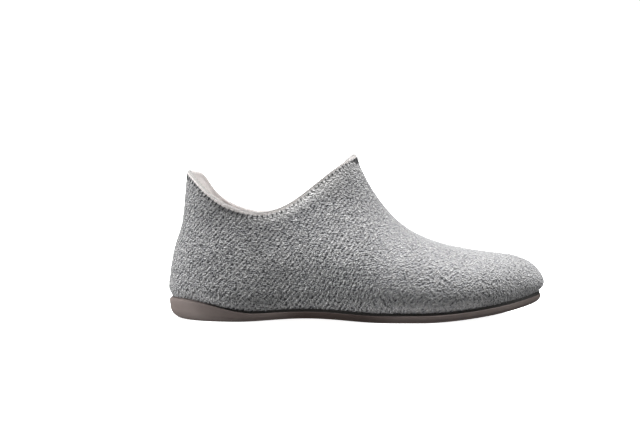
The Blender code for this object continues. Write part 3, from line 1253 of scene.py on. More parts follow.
@dataclass
class CollarLine:
    """The collar as one closed line of even steps, with a frame of its own at each."""

    place: np.ndarray
    outward: np.ndarray
    up: np.ndarray
    length: float
    throat: int
    BATCH: ClassVar[int] = 4000
    SMOOTHINGS: ClassVar[int] = 6
    DRAWN_IN: ClassVar[Table] = ((-85.0, 0.0), (-60.0, 0.45), (-20.0, 0.5), (-6.0, 0.0))
    ROLL: ClassVar[Table] = (
        (-110.0, 1.9),
        (-85.0, 2.1),
        (-60.0, 2.3),
        (-40.0, 1.9),
        (-22.0, 1.25),
        (-8.0, 1.4),
        (0.0, 2.2),
    )

    @property
    def per_mm(self) -> float:
        """Steps of the line in a millimetre."""
        return len(self.place) / self.length

    @classmethod
    def around(
        cls, places: np.ndarray, normals: np.ndarray, rear: int, steps: int
    ) -> "CollarLine":
        """The collar of an upper's grid.

        Args:
            places: the upper's outside, columns by rows by three.
            normals: its normals.
            rear: how many columns a side stand behind the throat.
            steps: how many even steps the line gets.

        Returns:
            The line, from the heel along the outer side to the throat and back.
        """
        outer = np.arange(rear + 1)
        ring = np.concatenate((outer, len(places) - 1 - outer[-2:0:-1]))
        line = places[ring, -1]
        facing = normals[ring, -1]
        at = distance_along(np.concatenate((line, line[:1])))
        even = np.arange(steps) / steps * at[-1]

        def resample(values: np.ndarray) -> np.ndarray:
            """Values of the ring at even steps."""
            closed = np.concatenate((values, values[:1]))
            return np.stack([np.interp(even, at, closed[:, k]) for k in range(3)], axis=1)

        place, outward = resample(line), unit(resample(facing))
        for _ in range(cls.SMOOTHINGS):
            beside = np.roll(outward, 1, axis=0) + np.roll(outward, -1, axis=0)
            outward = unit(beside + 2 * outward)
        along = unit(np.roll(place, -1, axis=0) - np.roll(place, 1, axis=0))
        outward = unit(outward - along * np.sum(outward * along, axis=1, keepdims=True))
        up = np.cross(outward, along)
        return cls(place, outward, up, float(at[-1]), int(np.argmax(place[:, 2])))

    def point(self, at: np.ndarray, out: np.ndarray, rise: np.ndarray) -> np.ndarray:
        """Points in the collar's frame.

        Args:
            at: steps along the line, whole or not.
            out: distance outwards from the wool's face, in mm.
            rise: distance above the collar, in mm.

        Returns:
            Points with a last axis of three.
        """
        return (
            self.sample(self.place, at)
            + self.sample(self.outward, at) * np.asarray(out)[..., None]
            + self.sample(self.up, at) * np.asarray(rise)[..., None]
        )

    def drawn_in(self, at: np.ndarray) -> np.ndarray:
        """How far the stitches draw the edge in at steps of the line: only on the instep."""
        return read_table(self.DRAWN_IN, self.sample(self.place, at)[..., 0])

    def roll_width(self, at: np.ndarray) -> np.ndarray:
        """How wide the rolled edge is at steps of the line: thin on the instep."""
        return read_table(self.ROLL, self.sample(self.place, at)[..., 0])

    def sample(self, values: np.ndarray, at: np.ndarray) -> np.ndarray:
        """Values of the line at steps, whole or not."""
        count = len(values)
        low = np.floor(at).astype(int)
        t = (at - low)[..., None]
        return values[low % count] * (1 - t) + values[(low + 1) % count] * t

    def nearest(self, points: np.ndarray) -> tuple[np.ndarray, np.ndarray]:
        """The nearest step of the line.

        Args:
            points: many points by three.

        Returns:
            Its distance and its index, one a point.
        """
        distance = np.zeros(len(points))
        index = np.zeros(len(points), int)
        for start in range(0, len(points), self.BATCH):
            part = slice(start, start + self.BATCH)
            gap = np.linalg.norm(points[part, None] - self.place[None], axis=2)
            index[part] = np.argmin(gap, axis=1)
            distance[part] = np.min(gap, axis=1)
        return distance, index


@dataclass
class CollarStitching:
    """Overlock stitches round the collar, and the bar of stitches at the throat."""

    pitch: float = 3.1
    reaches: Table = ((-100.0, 2.9), (-60.0, 2.6), (-38.0, 1.8), (0.0, 2.2))
    # Short stitches that bite into the wool
    slant: float = 0.45
    thread: float = 0.31
    taper: tuple[float, ...] = (0.7, 1.0, 1.05, 1.05, 1.05, 1.0, 0.7)
    seat: float = -0.42
    bow: float = 0.50
    lean_spread: float = 0.16
    reach_spread: float = 0.3
    sunk_spread: float = 0.14
    heel_lift: float = 0.08
    heel_from: Span = (-55.0, -70.0)
    faint: float = 0.14
    faint_from: Span = (-48.0, -38.0)
    faint_to: Span = (-18.0, -26.0)
    pulled: float = 0.9
    # Dents that they press into it
    dent_reach: float = 9.0
    dent_width: float = 0.5
    # Fine thread over the rolled edge
    wrap_thread: float = 0.12
    wrap_turn: Span = (-0.3, 1.3)
    wrap_points: int = 11
    wrap_middle: Span = (-1.42, -1.35)
    wrap_radius: Span = (1.50, 1.45)
    # Bar at the throat
    bar_thread: float = 0.27
    bar_rows: int = 9
    bar_points: int = 13
    bar_reach: float = 8.0
    bar_top: float = -2.7
    bar_step: float = 0.44
    bar_stagger: float = 0.12
    bar_spread: Span = (0.25, 0.05)
    bar_bow: Span = (0.25, -0.15)

    def starts(self, line: CollarLine) -> np.ndarray:
        """Steps of the collar line where the stitches stand."""
        count = round(line.length / self.pitch)
        return np.arange(count) / count * len(line.place)

    def long_at(self, line: CollarLine, at: np.ndarray) -> np.ndarray:
        """How long the stitches are at steps of the line, in mm."""
        return read_table(self.reaches, line.sample(line.place, at)[..., 0])

    def dents(self, line: CollarLine, points: np.ndarray, distance: np.ndarray) -> np.ndarray:
        """How deep the stitches press into the wool, from 0 to 1.

        Args:
            line: the collar.
            points: the wool's points.
            distance: how far each lies from the collar.

        Returns:
            One share a point.
        """
        deep = np.zeros(len(points))
        near = np.flatnonzero(distance < self.dent_reach)
        at = self.starts(line)
        top = -line.roll_width(at)
        low = top - self.long_at(line, at)
        head = line.point(at, np.zeros(len(at)), top)
        tail = line.point(at - self.slant * line.per_mm, np.zeros(len(at)), low)
        for a, b in zip(head, tail):
            run = b - a
            t = np.clip(((points[near] - a) @ run) / (run @ run), 0.0, 1.0)
            gap = np.linalg.norm(points[near] - (a + t[:, None] * run), axis=1)
            deep[near] = np.maximum(deep[near], np.exp(-((gap / self.dent_width) ** 2)))
        return deep

    def build(self, upper: "WoolUpper", finishes: dict[Thread, bpy.types.Material]) -> None:
        """Sews the collar and the throat.

        Args:
            upper: the wool shell.
            finishes: a material for each thread.
        """
        draw = np.random.default_rng(21)
        for mesh, name, thread in (
            (self.bites(upper.line, draw), "collar_stitches", Thread.DARK),
            (self.wraps(upper.line), "collar_wraps", Thread.PALE),
            (self.bar(upper, draw), "throat_bar", Thread.DARK),
        ):
            add_piece(mesh, name, finishes[thread])

    def bites(self, line: CollarLine, draw: np.random.Generator) -> bpy.types.Mesh:
        """The short stitches that bite into the wool below the rolled edge."""
        at = self.starts(line)
        lean = self.slant + draw.normal(0.0, self.lean_spread, len(at))
        reach = draw.normal(0.0, self.reach_spread, len(at))
        sunk = draw.uniform(0.0, self.sunk_spread, (len(at), 1))
        # Half way up the instep the thread lies deeper in the wool, and at the heel less deep
        x = line.sample(line.place, at)[:, :1]
        sunk += self.faint * soft_step(*self.faint_from, x) * soft_step(*self.faint_to, x)
        sunk -= self.heel_lift * soft_step(*self.heel_from, x)
        sunk += self.pulled * line.drawn_in(at)[:, None]

        share = np.linspace(0, 1, len(self.taper))
        fall = (reach - self.long_at(line, at))[:, None] * share
        spot = at[:, None] - lean[:, None] * line.per_mm * share
        out = self.seat + self.bow * np.sin(math.pi * share) ** 0.6 - sunk
        path = line.point(spot, out, fall - line.roll_width(at)[:, None])
        outward = line.sample(line.outward, spot)
        return thread_mesh("collar_bites", path, outward, self.thread * np.array(self.taper))

    def wraps(self, line: CollarLine) -> bpy.types.Mesh:
        """The fine thread that winds over the rolled edge at each stitch."""
        at = self.starts(line)
        turn = np.linspace(*self.wrap_turn, self.wrap_points) * math.pi
        out = np.cos(turn) * self.wrap_radius[0] + self.wrap_middle[0]
        rise = np.sin(turn) * self.wrap_radius[1] + self.wrap_middle[1]
        spot = at[:, None] + line.per_mm * 0.5 * np.linspace(0, 1, self.wrap_points)
        path = line.point(spot, out, rise)
        middle = line.point(at, *(np.full(len(at), value) for value in self.wrap_middle))
        radius = np.full(self.wrap_points, self.wrap_thread)
        return thread_mesh("collar_wraps", path, unit(path - middle[:, None]), radius, 5)

    def bar(self, upper: "WoolUpper", draw: np.random.Generator) -> bpy.types.Mesh:
        """The bar of stitches round the throat's peak."""
        line, count = upper.line, self.bar_points
        sideways, upwards = self.bar_spread
        along = np.linspace(-self.bar_reach, self.bar_reach, count)
        rows = []
        for row in range(self.bar_rows):
            drop = self.bar_top - self.bar_step * row + self.bar_stagger * (row % 2)
            spot = line.throat + line.per_mm * (along + draw.normal(0.0, sideways))
            rise = drop + draw.normal(0.0, upwards, count)
            rows.append(line.point(spot, np.zeros(count), rise))
        bow, seat = self.bar_bow
        bow = bow * np.sin(math.pi * np.linspace(0, 1, count)) ** 0.5 + seat
        path, outward = upper.laid_on(np.stack(rows), np.tile(bow, (self.bar_rows, 1)))
        return thread_mesh("throat_bar", path, outward, np.full(count, self.bar_thread), 6)


@dataclass
class WoolUpper:
    """The wool shell: one cut of twilled felt, closed by a seam behind the heel."""

    last: Last
    twill: Twill
    stitching: CollarStitching
    rows: int = 131
    hidden: float = 1.2
    coarse: tuple[int, int] = (5, 5)
    shift: Span = (43.0, 27.0)
    line_steps: int = 680
    # Form: felting, folds, the toe's nose and the edges
    felt_from: Span = (-12.0, 44.0)
    fold_from: Span = (0.5, 9.0)
    fold_side: Span = (-4.0, 4.0)
    nose: float = 1.4
    nose_facing: Span = (0.55, 1.0)
    nose_from: Span = (100.0, 122.0)
    nose_height: float = 24.0
    nose_width: float = 6.0
    dent_depth: float = 0.25
    # Share of painted shade in the stitches' dents
    dent_shade_share: float = 0.4
    welt: float = 0.12
    welt_at: float = 4.0
    welt_width: float = 2.2
    drawn_from: Span = (9.0, 1.5)
    under_roll: float = 0.9
    under_from: Span = (-0.1, -0.8)
    under_lip: float = 0.12
    # Where the collar stands higher
    stands: tuple[Stand, ...] = (
        Stand(-106.0, 5.5, 0.0, 1.9),
        Stand(-58.0, 30.0, 0.85, 0.85),
    )
    stand_from: Span = (0.7, 1.0)
    stand_behind: Span = (-4.0, -16.0)
    # Painted light: paler wool along the sole stands in for light thrown up from the floor, and
    # paler wool by the collar on the instep for light that falls there
    bounce_from: Span = (9.0, 1.0)
    painted_light_full: float = 3.0
    low_painted_bounce: Table = (
        (-112.0, 0.08),
        (-104.0, 0.34),
        (-88.0, 0.37),
        (-65.0, 0.53),
        (-35.0, 0.53),
        (0.0, 0.40),
        (45.0, 0.90),
        (75.0, 0.82),
        (92.0, 0.12),
        (115.0, 0.0),
    )
    top_painted_light: Table = (
        (-95.0, 0.10),
        (-75.0, 0.18),
        (-52.0, 0.62),
        (-44.0, 0.82),
        (-26.0, 0.70),
        (-12.0, 0.48),
        (-5.0, 0.18),
    )
    painted_light_depth: Table = ((-28.0, 10.0), (-18.0, 14.5), (-10.0, 21.0), (0.0, 24.0))
    # Seam behind the heel
    seam_width: float = 0.9
    seam_depth: float = 0.45
    # Loose hairs
    nap_hairs: int = 26000
    nap_stand: Span = (0.15, 0.75)
    nap_length: tuple[float, float, float] = (3.0, 0.28, 0.3)
    nap_bend: float = 0.3
    nap_width: Span = (0.02, 0.035)
    nap_root: float = 0.12
    nap_tone: Span = (1.2, 1.0)
    # Soft ridges and troughs
    creases: tuple[Crease, ...] = (
        Crease((-106.0, 13.0), (-80.0, 13.0), 17.0, 1.4),
        Crease((-103.0, 66.0), (-95.0, 66.0), 13.0, -1.8),
        Crease((-20.0, 65.0), (5.0, 65.0), 16.0, 1.0),
        Crease((-10.0, 36.0), (20.0, 30.0), 19.0, 1.2),
        Crease((-80.0, 28.0), (-58.0, 28.0), 15.0, 0.8),
        Crease((-56.0, 23.0), (-18.0, 26.0), 16.0, -0.9),
    )
    columns: Columns = field(init=False)
    base: np.ndarray = field(init=False)
    normals: np.ndarray = field(init=False)
    line: CollarLine = field(init=False)
    cut: Span = field(init=False)
    cut_area: float = field(init=False)

    def __post_init__(self) -> None:
        """Lays the even surface of the last and its collar line."""
        self.columns = self.last.columns()
        self.base = self.columns.outside(self.rows, self.hidden)
        near_top = soft_step(*self.stand_from, np.linspace(0, 1, self.rows))
        behind = soft_step(*self.stand_behind, self.base[:, -1:, 0])
        for stand in self.stands:
            spot = np.exp(-(((self.base[:, -1:, 0] - stand.x) / stand.width) ** 2)) * behind
            rise = np.where(self.columns.inner, stand.inner, stand.outer)[:, None]
            self.base[..., 2] += rise * spot * near_top
        self.normals = grid_normals(self.base, self.columns.ahead)
        rear = self.last.rear_columns
        self.line = CollarLine.around(self.base, self.normals, rear, self.line_steps)

    def flat_cut(self) -> np.ndarray:
        """The cut of cloth that the upper is made from, laid flat with the least stretch.

        Returns:
            Columns by rows by two, in mm; on the outer side it runs with x and z.
        """
        by_column, by_row = self.coarse
        places = self.base[::by_column, ::by_row]
        columns, rows = places.shape[:2]
        cell = np.stack(np.meshgrid(np.arange(columns), np.arange(rows), indexing="ij"), axis=-1)
        weld = np.zeros((columns, rows))
        weld[self.columns.ahead[::by_column], -1] = 1
        mesh = grid_mesh("flat_cut", places, flat=cell.astype(float), weld=weld)
        sheet = bpy.data.objects.new("flat_cut", mesh)
        bpy.context.scene.collection.objects.link(sheet)
        mesh.uv_layers.new(name="laid")
        mesh.uv_layers.active = mesh.uv_layers["laid"]
        bpy.context.view_layer.objects.active = sheet
        sheet.select_set(True)
        bpy.ops.object.mode_set(mode="EDIT")
        bpy.ops.mesh.select_all(action="SELECT")
        bpy.ops.uv.unwrap(method="MINIMUM_STRETCH", iterations=40, margin=0.0)
        bpy.ops.object.mode_set(mode="OBJECT")
        laid, where = (np.zeros(len(mesh.loops) * 2, np.float32) for _ in range(2))
        mesh.uv_layers["laid"].data.foreach_get("uv", laid)
        mesh.uv_layers["cloth"].data.foreach_get("uv", where)
        bpy.data.objects.remove(sheet)
        bpy.data.meshes.remove(mesh)

        flat = np.zeros((columns, rows), complex)
        where = np.rint(where.reshape(-1, 2)).astype(int)
        flat[where[:, 0], where[:, 1]] = laid[::2] + 1j * laid[1::2]
        # It is turned and scaled to fit the side view of the outer side behind the throat
        behind = (places[..., 0] > -100) & (places[..., 0] < 0)
        steady = behind & ~self.columns.inner[::by_column, None]
        here = flat[steady] - flat[steady].mean()
        wanted = places[steady][:, 0] + 1j * places[steady][:, 2]
        turn = np.vdot(here, wanted - wanted.mean()) / np.vdot(here, here)
        flat = (flat - flat[steady].mean()) * turn + wanted.mean()

        u = np.arange(len(self.columns)) / by_column
        v = np.arange(self.rows) / by_row
        fine = []
        for part in (flat.real, flat.imag):
            wide = np.stack([np.interp(v, np.arange(rows), line) for line in part])
            full = [np.interp(u, np.arange(columns), line) for line in wide.T]
            fine.append(np.stack(full, axis=1))
        return np.stack(fine, axis=-1)

    def laid_on(self, points: np.ndarray, lift: np.ndarray) -> tuple[np.ndarray, np.ndarray]:
        """Points moved onto the even surface of the shell.

        Args:
            points: any array with a last axis of three.
            lift: how far each lies above the surface, in mm.

        Returns:
            The moved points and the surface's normals there.
        """
        spots, facing = self.base.reshape(-1, 3), self.normals.reshape(-1, 3)
        flat = points.reshape(-1, 3)
        nearest = np.array([np.argmin(np.sum((spots - p) ** 2, axis=1)) for p in flat])
        normal = facing[nearest]
        off = np.sum((spots[nearest] - flat) * normal, axis=1) + lift.ravel()
        return (flat + normal * off[:, None]).reshape(points.shape), normal.reshape(points.shape)

    def folds(self) -> np.ndarray:
        """Height of the soft troughs and ridges by columns and rows, in mm."""
        height = np.zeros(self.base.shape[:2])
        side_view = self.base[..., [0, 2]]
        outer_side = soft_step(*self.fold_side, -self.base[..., 1])
        for crease in self.creases:
            start, run = np.array(crease.start), np.array(crease.end) - np.array(crease.start)
            t = ((side_view - start) @ run) / (run @ run)
            gap = np.linalg.norm(side_view - (start + np.clip(t, 0, 1)[..., None] * run), axis=2)
            height += crease.height * np.exp(-((gap / crease.width) ** 2)) * outer_side
        return height

    def full_nose(self) -> np.ndarray:
        """How full the toe's nose is just above the sole, by columns and rows, in mm."""
        ahead = soft_step(*self.nose_facing, self.normals[..., 0])
        ahead *= soft_step(*self.nose_from, self.base[..., 0])
        off = (self.base[..., 2] - self.nose_height) / self.nose_width
        return self.nose * ahead * np.exp(-(off**2))

    def build(self, finish: bpy.types.Material, hair: bpy.types.Material) -> None:
        """Makes the shell with its weave, and the nap on it.

        Args:
            finish: the wool's material.
            hair: the nap's material.
        """
        flat = self.flat_cut()
        cloth = self.twill.uneven(flat + np.array(self.shift))
        x, shape = self.base[..., 0], self.base.shape[:2]
        felted = soft_step(*self.felt_from, x)
        points = self.base.reshape(-1, 3)
        distance, index = self.line.nearest(points)
        dents = self.stitching.dents(self.line, points, distance).reshape(shape)
        distance, index = distance.reshape(shape), index.reshape(shape)
        at = index.astype(float)

        low = self.base[..., 2] - self.last.lip_top(x)
        lift = self.twill.height(cloth, felted) + self.folds() * soft_step(*self.fold_from, low)
        lift += self.full_nose()
        seam = np.minimum(
            np.linalg.norm(self.base - self.base[:1], axis=2),
            np.linalg.norm(self.base - self.base[-1:], axis=2),
        )
        lift *= soft_step(0.0, self.seam_width * 1.6, seam)
        lift -= self.seam_depth * np.exp(-((seam / self.seam_width) ** 2))
        lift -= self.dent_depth * dents
        off = (distance - self.welt_at) / self.welt_width
        lift += self.welt * np.exp(-(off**2)) * (1 - dents)
        lift -= self.line.drawn_in(at) * soft_step(*self.drawn_from, distance)
        # The edge goes in under the lining's roll, and the bottom edge under the sole's lip
        roll = self.line.roll_width(at)
        under = soft_step(*self.under_from, distance - roll)
        lift = lift * (1 - under) - self.under_roll * under
        lift -= self.under_lip * soft_step(3.0, 0.0, np.arange(self.rows))
        places = self.base + self.normals * lift[..., None]
        drop = under * np.maximum(roll - distance, 0.0) * 0.5
        places -= self.line.up[index] * drop[..., None]
        places[-1] = places[0]

        painted_light_end = read_table(self.painted_light_depth, x)
        marks = {
            "felted": felted,
            # Painted shade in the stitches' dents
            "dent_shade": dents * self.dent_shade_share,
            # Painted light along the sole
            "painted_bounce": read_table(self.low_painted_bounce, x) * soft_step(*self.bounce_from, low),
            # Painted light by the collar on the instep
            "painted_light": read_table(self.top_painted_light, x)
            * soft_step(painted_light_end, self.painted_light_full, distance),
        }
        mesh = grid_mesh("wool_upper", places, flat=cloth, marks=marks)
        piece = add_piece(mesh, "wool_upper", finish)
        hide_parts("upper")
        self.cut, self.cut_area = self.cut_size(flat)
        self.nap(places, hair)

    @staticmethod
    def cut_size(flat: np.ndarray) -> tuple[Span, float]:
        """The flat cut's width and length in metres, and its area in square metres."""
        a, b = flat[1:, 1:] - flat[:-1, :-1], flat[:-1, 1:] - flat[1:, :-1]
        area = np.abs(a[..., 0] * b[..., 1] - a[..., 1] * b[..., 0]).sum() / 2 * MM * MM
        across, along = np.sort(np.ptp(flat.reshape(-1, 2), axis=0)) * MM
        return (float(across), float(along)), float(area)

    def nap(self, places: np.ndarray, finish: bpy.types.Material) -> None:
        """Loose hairs that stand off the wool.

        Args:
            places: the shell's points, columns by rows by three.
            finish: their material.
        """
        draw = np.random.default_rng(31)
        up, along = places[:-1, 1:] - places[:-1, :-1], places[1:, :-1] - places[:-1, :-1]
        area = np.linalg.norm(np.cross(along, up), axis=2)
        # No hair grows at the collar or under the sole's lip
        area[:, -4:] *= self.columns.ahead[:-1, None]
        area[:, :3] = 0
        each = (self.nap_hairs, 1)
        spot = draw.choice(area.size, self.nap_hairs, p=area.ravel() / area.sum())
        column, row = np.unravel_index(spot, area.shape)
        root = places[column, row] + up[column, row] * draw.random(each)
        root += along[column, row] * draw.random(each)
        normal = self.normals[column, row]
        lean = unit(np.cross(normal, unit(draw.normal(size=(self.nap_hairs, 3)))))
        stand = draw.uniform(*self.nap_stand, each)
        shape, scale, least = self.nap_length
        long = draw.gamma(shape, scale, each) + least
        bend = unit(np.cross(normal, lean)) * draw.normal(0.0, self.nap_bend, each)
        middle = root + (normal * stand + lean) * long * 0.5
        tip = root + (normal * stand * 1.3 + lean * 0.8 + bend) * long
        half = unit(np.cross(lean, normal)) * draw.uniform(*self.nap_width, each)
        root = root - normal * self.nap_root
        outline = (root - half, root + half, middle - half * 0.8, middle + half * 0.8, tip)
        points = np.stack(outline, axis=1)
        first = np.arange(self.nap_hairs)[:, None] * len(outline)
        quads = first + np.array((0, 1, 3, 2))
        ends = first + np.array((2, 3, 4))
        mesh = bpy.data.meshes.new("wool_nap")
        mesh.from_pydata((points.reshape(-1, 3) * MM).tolist(), [], quads.tolist() + ends.tolist())
        tone = draw.beta(*self.nap_tone, self.nap_hairs).astype(np.float32)
        tone = np.repeat(tone, len(outline))
        mesh.attributes.new("tone", "FLOAT", "POINT").data.foreach_set("value", tone)
        piece = add_piece(mesh, "wool_nap", finish)


@dataclass
class SoftLining:
    """The pale lining: inside of the wall, and its edge rolled over the collar."""

    upper: WoolUpper
    every: tuple[int, int] = (4, 2)
    inset: float = 2.75
    flares: Table = (
        (-112.0, 2.2),
        (-100.0, 3.0),
        (-88.0, 4.6),
        (-60.0, 4.6),
        (-25.0, 0.0),
    )
    flare_from: Span = (1.0, 14.0)
    flare_to: Span = (52.0, 24.0)
    softness: float = 0.12
    edge_drop: float = 2.4
    scallop: float = 0.10
    turn_over: float = 14.0
    edge_rows: int = 34
    crest_from: Span = (11.0, 14.0)
    crest_to: Span = (22.5, 19.5)
    drawn_from: Span = (18.0, 11.0)
    grey: float = 0.25
    grey_from: Span = (-58.0, -32.0)
    # Out and up from the collar; up to the top row the heights are shares of the roll's width
    EDGE: ClassVar[Table] = (
        (-1.0, -1.42),
        (-0.55, -1.32),
        (-0.1, -1.2),
        (-0.04, -1.06),
        (0.0, -0.78),
        (-0.04, -0.5),
        (-0.08, -0.25),
        (-0.5, -0.08),
        (-1.2, 0.0),
        (-2.0, -0.1),
        (-2.6, -0.5),
        (-2.95, -1.1),
        (-3.08, -2.0),
        (-3.05, -3.2),
        (-2.9, -4.6),
        (-2.4, -6.0),
    )
    TOP: ClassVar[int] = 8

    def build(self, finish: bpy.types.Material) -> None:
        """Makes the inside and the rolled edge as one piece.

        Args:
            finish: the lining's material.
        """
        line = self.upper.line
        mesh = join_meshes("soft_lining", (self.wall(line), self.roll(line)))
        piece = add_piece(mesh, "soft_lining", finish)

    def wall(self, line: CollarLine) -> bpy.types.Mesh:
        """The inside of the shoe, which stands off the wool a little at the side."""
        by_column, by_row = self.every
        base = self.upper.base[::by_column, ::by_row]
        normals = self.upper.normals[::by_column, ::by_row]
        distance, index = line.nearest(base.reshape(-1, 3))
        distance, index = distance.reshape(base.shape[:2]), index.reshape(base.shape[:2])
        drop = np.maximum(self.edge_drop - distance, 0.0) * 0.8
        soft = self.softness * Lumps(41, 7.0)(base[..., [0, 2]])
        flare = soft_step(*self.flare_from, distance) * soft_step(*self.flare_to, distance)
        soft += flare * read_table(self.flares, base[..., 0])
        inside = base - normals * (self.inset + soft)[..., None] - line.up[index] * drop[..., None]
        inside[-1] = inside[0]
        bare = {"rim": np.zeros(base.shape[:2])}
        return grid_mesh("lining_wall", inside, marks=bare, inside_out=True)

    def roll(self, line: CollarLine) -> bpy.types.Mesh:
        """The rolled edge, swollen a little between the stitches."""
        steps = len(line.place)
        at = np.arange(steps + 1, dtype=float)
        along = np.linspace(0, len(self.EDGE) - 1, self.edge_rows)
        profile = Curve(np.arange(len(self.EDGE)), self.EDGE)(along)
        phase = at[:, None] / steps * round(line.length / self.upper.stitching.pitch)
        swell = self.scallop * (0.5 - 0.5 * np.cos(TURN * phase))
        width = np.where(along < self.TOP, line.roll_width(at)[:, None], 1.0)
        rise = profile[:, 1] * width - swell * soft_step(-3.0, -0.5, profile[:, 1])
        row = np.arange(self.edge_rows)
        out = profile[:, 0] + swell * 0.8 * soft_step(-1.0, 0.1, profile[:, 0])
        out = out - line.drawn_in(at)[:, None] * soft_step(*self.drawn_from, row)
        edge = line.point(np.broadcast_to(at[:, None], out.shape), out, rise)
        crest = soft_step(*self.crest_from, row) * soft_step(*self.crest_to, row)
        grey = self.grey * soft_step(*self.grey_from, line.sample(line.place, at)[:, :1])
        return grid_mesh(
            "lining_roll", edge, marks={"rim": np.maximum(crest, grey)}, inside_out=True
        )


@dataclass
class RubberSole:
    """The moulded sole: heel cup, lip, dark joint under the upper with painted shade in its
    groove, soft bottom edge and tread.
    """

    last: Last
    groove_depth: float = 0.8
    shoulder: float = 0.5
    heel_shoulder: float = 1.0
    heel_full: float = 0.45
    heel_from: Span = (0.14, 0.03)
    side_full: float = 0.06
    side_height: float = 6.0
    under_rows: int = 44
    bed_shares: tuple[float, ...] = (0.85, 0.6, 0.3, 0.0)
    # Tread
    tread_pitch: float = 6.2
    tread_depth: float = 0.9
    tread_width: float = 0.16
    tread_wave: float = 1.6
    tread_wave_length: float = 15.0
    tread_margin: Span = (8.5, 10.5)
    tread_zones: tuple[Span, ...] = ((0.05, 0.27), (0.50, 0.93))
    tread_fade: float = 0.02
    # Marks for the finish, at stations or heights: wear at the bottom edge, the dark joint line
    # with painted shade in its groove, and painted shade on the side at the waist and toe
    joint_shade_from: Span = (0.03, 0.16)
    heel_joint_shade: float = 0.45
    worn_to: Span = (7.0, 1.0)
    painted_shade_to: Span = (12.0, 3.0)
    waist_from: Span = (0.25, 0.37)
    waist_to: Span = (0.66, 0.50)
    toe_from: Span = (0.86, 0.98)
    toe_painted_shade: float = 0.35

    def build(self, finish: bpy.types.Material) -> None:
        """Makes the sole.

        Args:
            finish: the rubber's material.
        """
        columns = self.last.columns()
        edge_at = {n: c(columns.station)[:, None] for n, c in self.last.edge.items()}
        edge, groove = columns.edge[:, None], edge_at["groove"]
        top = self.last.lip_top(columns.x)[:, None]

        turn = np.linspace(0, math.pi / 2, 11)[None]
        inset = edge + edge_at["round_in"] * (1 - np.cos(turn))
        around = columns.at_inset(inset, edge_at["round_up"] * (1 - np.sin(turn)))
        around[..., 2] += self.last.underside(around[..., 0])
        under = columns.to_axis(around[:, -1], np.linspace(1, 0, self.under_rows + 1)[1:])
        under[..., 2] = self.last.underside(under[..., 0]) + self.tread(columns, under)

        # The side is a little full in the middle, and at the heel's cup fuller to a rounder top
        foot = around[:, :1, 2]
        heel = soft_step(*self.heel_from, columns.station)[:, None]
        full = self.heel_full * heel
        soft = self.shoulder + self.heel_shoulder * heel
        shoulder_low = top - groove - soft
        share = np.linspace(0, 1, 9)[None, 1:]
        bulge = self.side_full * np.sin(math.pi * share)
        bulge = bulge * np.clip((shoulder_low - foot) / self.side_height, 0, 1)
        bulge = bulge + full * soft_step(0.0, 0.8, share)
        wall = columns.at_inset(edge - bulge, foot + (shoulder_low - foot) * share)
        turn = np.linspace(0, math.pi / 2, 6)[None, 1:]
        inset = edge - full + soft * (1 - np.cos(turn))
        shoulder = columns.at_inset(inset, shoulder_low + soft * np.sin(turn))

        recess = edge + np.maximum(self.groove_depth, soft - full + 0.1)
        inner = edge + self.last.lip_width
        lip = [
            columns.at_inset(inset, height)
            for inset, height in (
                (recess - 0.06, top - groove),
                (recess, top - groove + 0.08),
                (recess, top - groove * 0.5),
                (recess, top - 0.18),
                (recess + 0.06, top - 0.05),
                (recess + 0.2, top),
                (inner - 0.15, top),
                (inner, top - 0.15),
                (inner, self.last.seat(columns.x)[:, None]),
            )
        ]
        bed = columns.to_axis(lip[-1][:, 0], np.array(self.bed_shares))
        bed[..., 2] = self.last.seat(bed[..., 0])
        rows = (under[:, ::-1], around[:, ::-1], wall, shoulder, *lip, bed)
        places = np.concatenate(rows, axis=1)

        first_lip = sum(r.shape[1] for r in rows[:4])
        # The dark joint line, with painted shade in the groove under the upper
        joint_and_shade = np.zeros(places.shape[:2])
        dark = soft_step(*self.joint_shade_from, columns.station)[:, None]
        dark = dark * (1 - self.heel_joint_shade) + self.heel_joint_shade
        joint_and_shade[:, first_lip - 1 : first_lip + len(lip)] = dark
        above = places[..., 2] - self.last.underside(places[..., 0])
        marks = {
            "joint_and_shade": joint_and_shade,
            "worn": soft_step(*self.worn_to, above),
            # Painted shade on the side at the waist and toe
            "painted_shade": self.painted_shade(columns, places),
        }
        piece = add_piece(grid_mesh("rubber_sole", places, marks=marks), "rubber_sole", finish)
        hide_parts("outsole")

    def painted_shade(self, columns: Columns, places: np.ndarray) -> np.ndarray:
        """Painted shade on the side: between heel and ball, and a little at the toe."""
        along = columns.station[:, None]
        waist = soft_step(*self.waist_from, along) * soft_step(*self.waist_to, along)
        toe = self.toe_painted_shade * soft_step(*self.toe_from, along)
        return (waist + toe) * soft_step(*self.painted_shade_to, columns.from_girth(places))

    def tread(self, columns: Columns, under: np.ndarray) -> np.ndarray:
        """How far the tread's wavy grooves are cut up into the underside.

        Args:
            columns: the last's columns.
            under: the underside's points.

        Returns:
            Columns by rows, in mm.
        """
        x, y = under[..., 0], under[..., 1]
        wave = self.tread_wave * np.sin(y / self.tread_wave_length * TURN)
        count = (x + wave) / self.tread_pitch
        off = np.abs(count - np.rint(count))
        cut = soft_step(self.tread_width, self.tread_width * 0.45, off)
        cut *= soft_step(*self.tread_margin, columns.from_girth(under))
        station, fade = self.last.station(x), self.tread_fade
        zones = sum(
            soft_step(start, start + fade, station) * soft_step(end, end - fade, station)
            for start, end in self.tread_zones
        )
        return self.tread_depth * cut * zones


